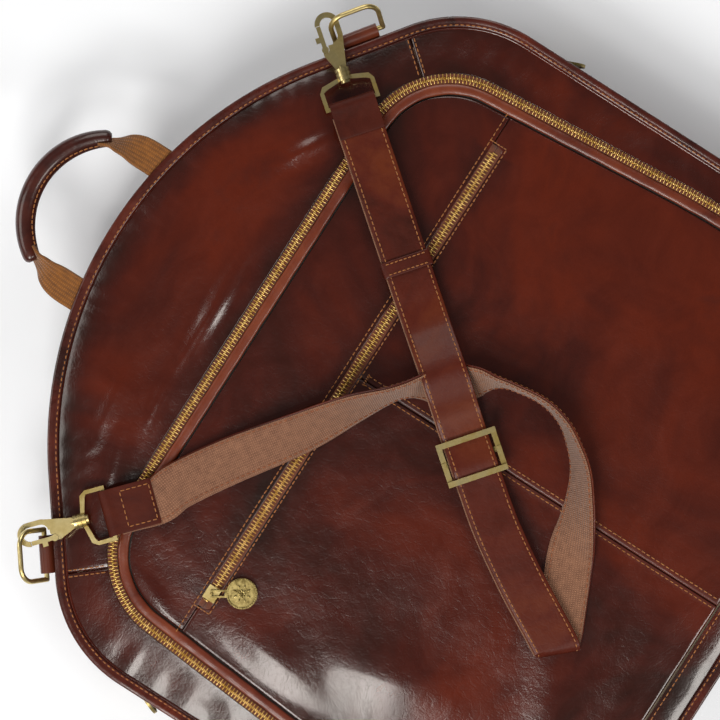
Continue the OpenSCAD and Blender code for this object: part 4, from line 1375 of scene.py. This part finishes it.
dress(["left_ring", "right_ring"], BRASS)
for _, tag in SIDES:
    dress([tag + "_hook", tag + "_hook_gate", tag + "_hook_bail"], BRASS, 0.45 * MM)
dress(["strap_buckle"], BRASS, 0.5 * MM)
dress(["pocket_slider", "big_slider", "left_side_slider", "right_side_slider"], BRASS, 0.3 * MM)
dress(["pocket_puller", "big_puller", "left_side_puller", "right_side_puller"], OLD_BRASS, 0.15 * MM)
dress(["inner_slider", "inner_puller"], BRASS, 0.2 * MM)
dress(["hanger_bracket", "hanger_clamp"], BRASS, 0.3 * MM)
dress(["garment_strap_buckles"], BLACK_PLASTIC, 0.4 * MM)
dress(["rear_stiffener", "front_stiffener"], BOARD)
dress(["pocket_backing"], LINING)


MEDAL_AT = 22.3 * MM
MEDAL_R = 11.5 * MM
MEDAL_FACE = 1.05 * MM


def petal(angle, near, far, width, height):
    """Raised leaf shape lying outwards from the middle of a medallion."""
    rings = [(0.0, 0.1), (0.2, 0.75), (0.5, 1.0), (0.8, 0.7), (1.0, 0.1)]
    turns = np.linspace(0, math.pi, 5)
    c, s = math.cos(angle), math.sin(angle)
    verts = []
    for along, wide in rings:
        r = near + (far - near) * along
        for t in turns:
            side = width * wide * math.cos(t)
            verts.append((r * c - side * s, r * s + side * c, height * wide * math.sin(t)))
    return np.array(verts), tube_faces(len(rings), len(turns))


def medallion(puller, joint, outward):
    """Twisted-rope edge and a flower in relief on the face of a zip puller's round end."""
    turn_axis = axis[joint]
    mesh = frame["nodes"][puller]
    corners = np.array([mesh.matrix_world @ v.co for v in mesh.data.vertices])
    pull = corners.mean(0) - pos[joint]
    pull -= turn_axis * (pull @ turn_axis)
    pull /= np.linalg.norm(pull)
    face = np.cross(pull, turn_axis)
    face *= np.sign(face @ np.array(outward, float))
    middle = pos[joint] + pull * MEDAL_AT + face * MEDAL_FACE
    twist = np.array([[math.cos(0.6), math.sin(0.6), 0], [-math.sin(0.6), math.cos(0.6), 0], [0, 0, 1.0]])
    parts = []
    for k in range(40):
        a = k * math.pi / 20
        v, f = petal(a, -0.75 * MM, 0.75 * MM, 0.5 * MM, 0.36 * MM)
        v = v @ twist
        parts.append((v + np.array([math.cos(a), math.sin(a), 0]) * (MEDAL_R - 0.8 * MM), f))
    for k in range(8):
        parts.append(petal(k * math.pi / 4, 0.9 * MM, 3.2 * MM, 0.85 * MM, 0.5 * MM))
        parts.append(petal((k + 0.5) * math.pi / 4, 4.0 * MM, 6.9 * MM, 0.7 * MM, 0.5 * MM))
    parts.append(petal(0, -0.9 * MM, 0.9 * MM, 0.8 * MM, 0.6 * MM))
    flipped = face @ np.cross(pull, turn_axis)
    placed = [(middle + v[:, 0:1] * pull + v[:, 1:2] * turn_axis * flipped + v[:, 2:3] * face, f)
              for v, f in parts]
    finish_piece(join(puller + "_relief", placed), OLD_BRASS, puller)


for tag in ("pocket", "big"):
    medallion(tag + "_puller", tag + "_puller_lift", (0, 0, 1))
for sign, tag in SIDES:
    medallion(tag + "_side_puller", tag + "_side_puller_swing", (sign, 0, 0))


# ---------------------------------------------------------------- floor, light and camera

floor = new_object("floor", [(-3, -3, 0), (3, -3, 0), (3, 3, 0), (-3, 3, 0)], [(0, 1, 2, 3)], solid=False)
floor.location.z = -0.2 * MM
floor_mat = bpy.data.materials.new("studio_floor")
floor_mat.use_nodes = True
floor_shader = floor_mat.node_tree.nodes["Principled BSDF"]
floor_shader.inputs["Base Color"].default_value = (0.885, 0.925, 0.98, 1)
floor_shader.inputs["Roughness"].default_value = 0.9
floor.data.materials.append(floor_mat)


def soft_light(name, place, target, size, power):
    light = bpy.data.lights.new(name, "AREA")
    light.shape = "RECTANGLE"
    light.size, light.size_y = size
    light.energy = power
    light.color = (1.0, 0.955, 0.90)
    obj = bpy.data.objects.new(name, light)
    obj.location = place
    obj.rotation_euler = (Vector(target) - Vector(place)).to_track_quat("-Z", "Y").to_euler()
    bpy.context.scene.collection.objects.link(obj)


soft_light("side_window", (-1.45, -0.45, 1.75), (-0.1, -0.05, 0.05), (0.9, 0.7), 32)
soft_light("near_window", (-0.86, -0.2, 2.1), (-0.1, -0.05, 0.05), (0.34, 0.5), 7)
soft_light("low_window", (-0.2, -1.6, 1.5), (-0.05, -0.1, 0.05), (0.8, 0.5), 13)
soft_light("far_fill", (1.7, 1.1, 1.5), (0, 0, 0.05), (1.6, 1.6), 26)
soft_light("back_fill", (-0.9, 1.7, 1.5), (0, 0, 0.05), (1.2, 1.2), 16)
world = bpy.data.worlds.new("studio")
world.use_nodes = True
world.node_tree.nodes["Background"].inputs[0].default_value = (0.95, 0.96, 1.0, 1)
world.node_tree.nodes["Background"].inputs[1].default_value = 0.08
bpy.context.scene.world = world
bpy.context.scene.view_settings.view_transform = "Standard"

PICTURE_WIDTH = 532.8 * MM
LENS = 150.0
SENSOR = 36.0
look_at = Vector((14.6 * MM, 2.9 * MM, FACE_Z))
up_dir = Vector((0.842, 0.539, 0)).normalized()
right_dir = Vector((up_dir.y, -up_dir.x, 0))
cam_data = bpy.data.cameras.new("camera")
cam_data.lens = LENS
cam_data.sensor_width = SENSOR
cam_data.clip_end = 20
cam = bpy.data.objects.new("camera", cam_data)
turn = Matrix((right_dir, up_dir, Vector((0, 0, 1)))).transposed().to_4x4()
turn.translation = look_at + Vector((0, 0, PICTURE_WIDTH * LENS / SENSOR))
cam.matrix_world = turn
bpy.context.scene.collection.objects.link(cam)
bpy.context.scene.camera = cam
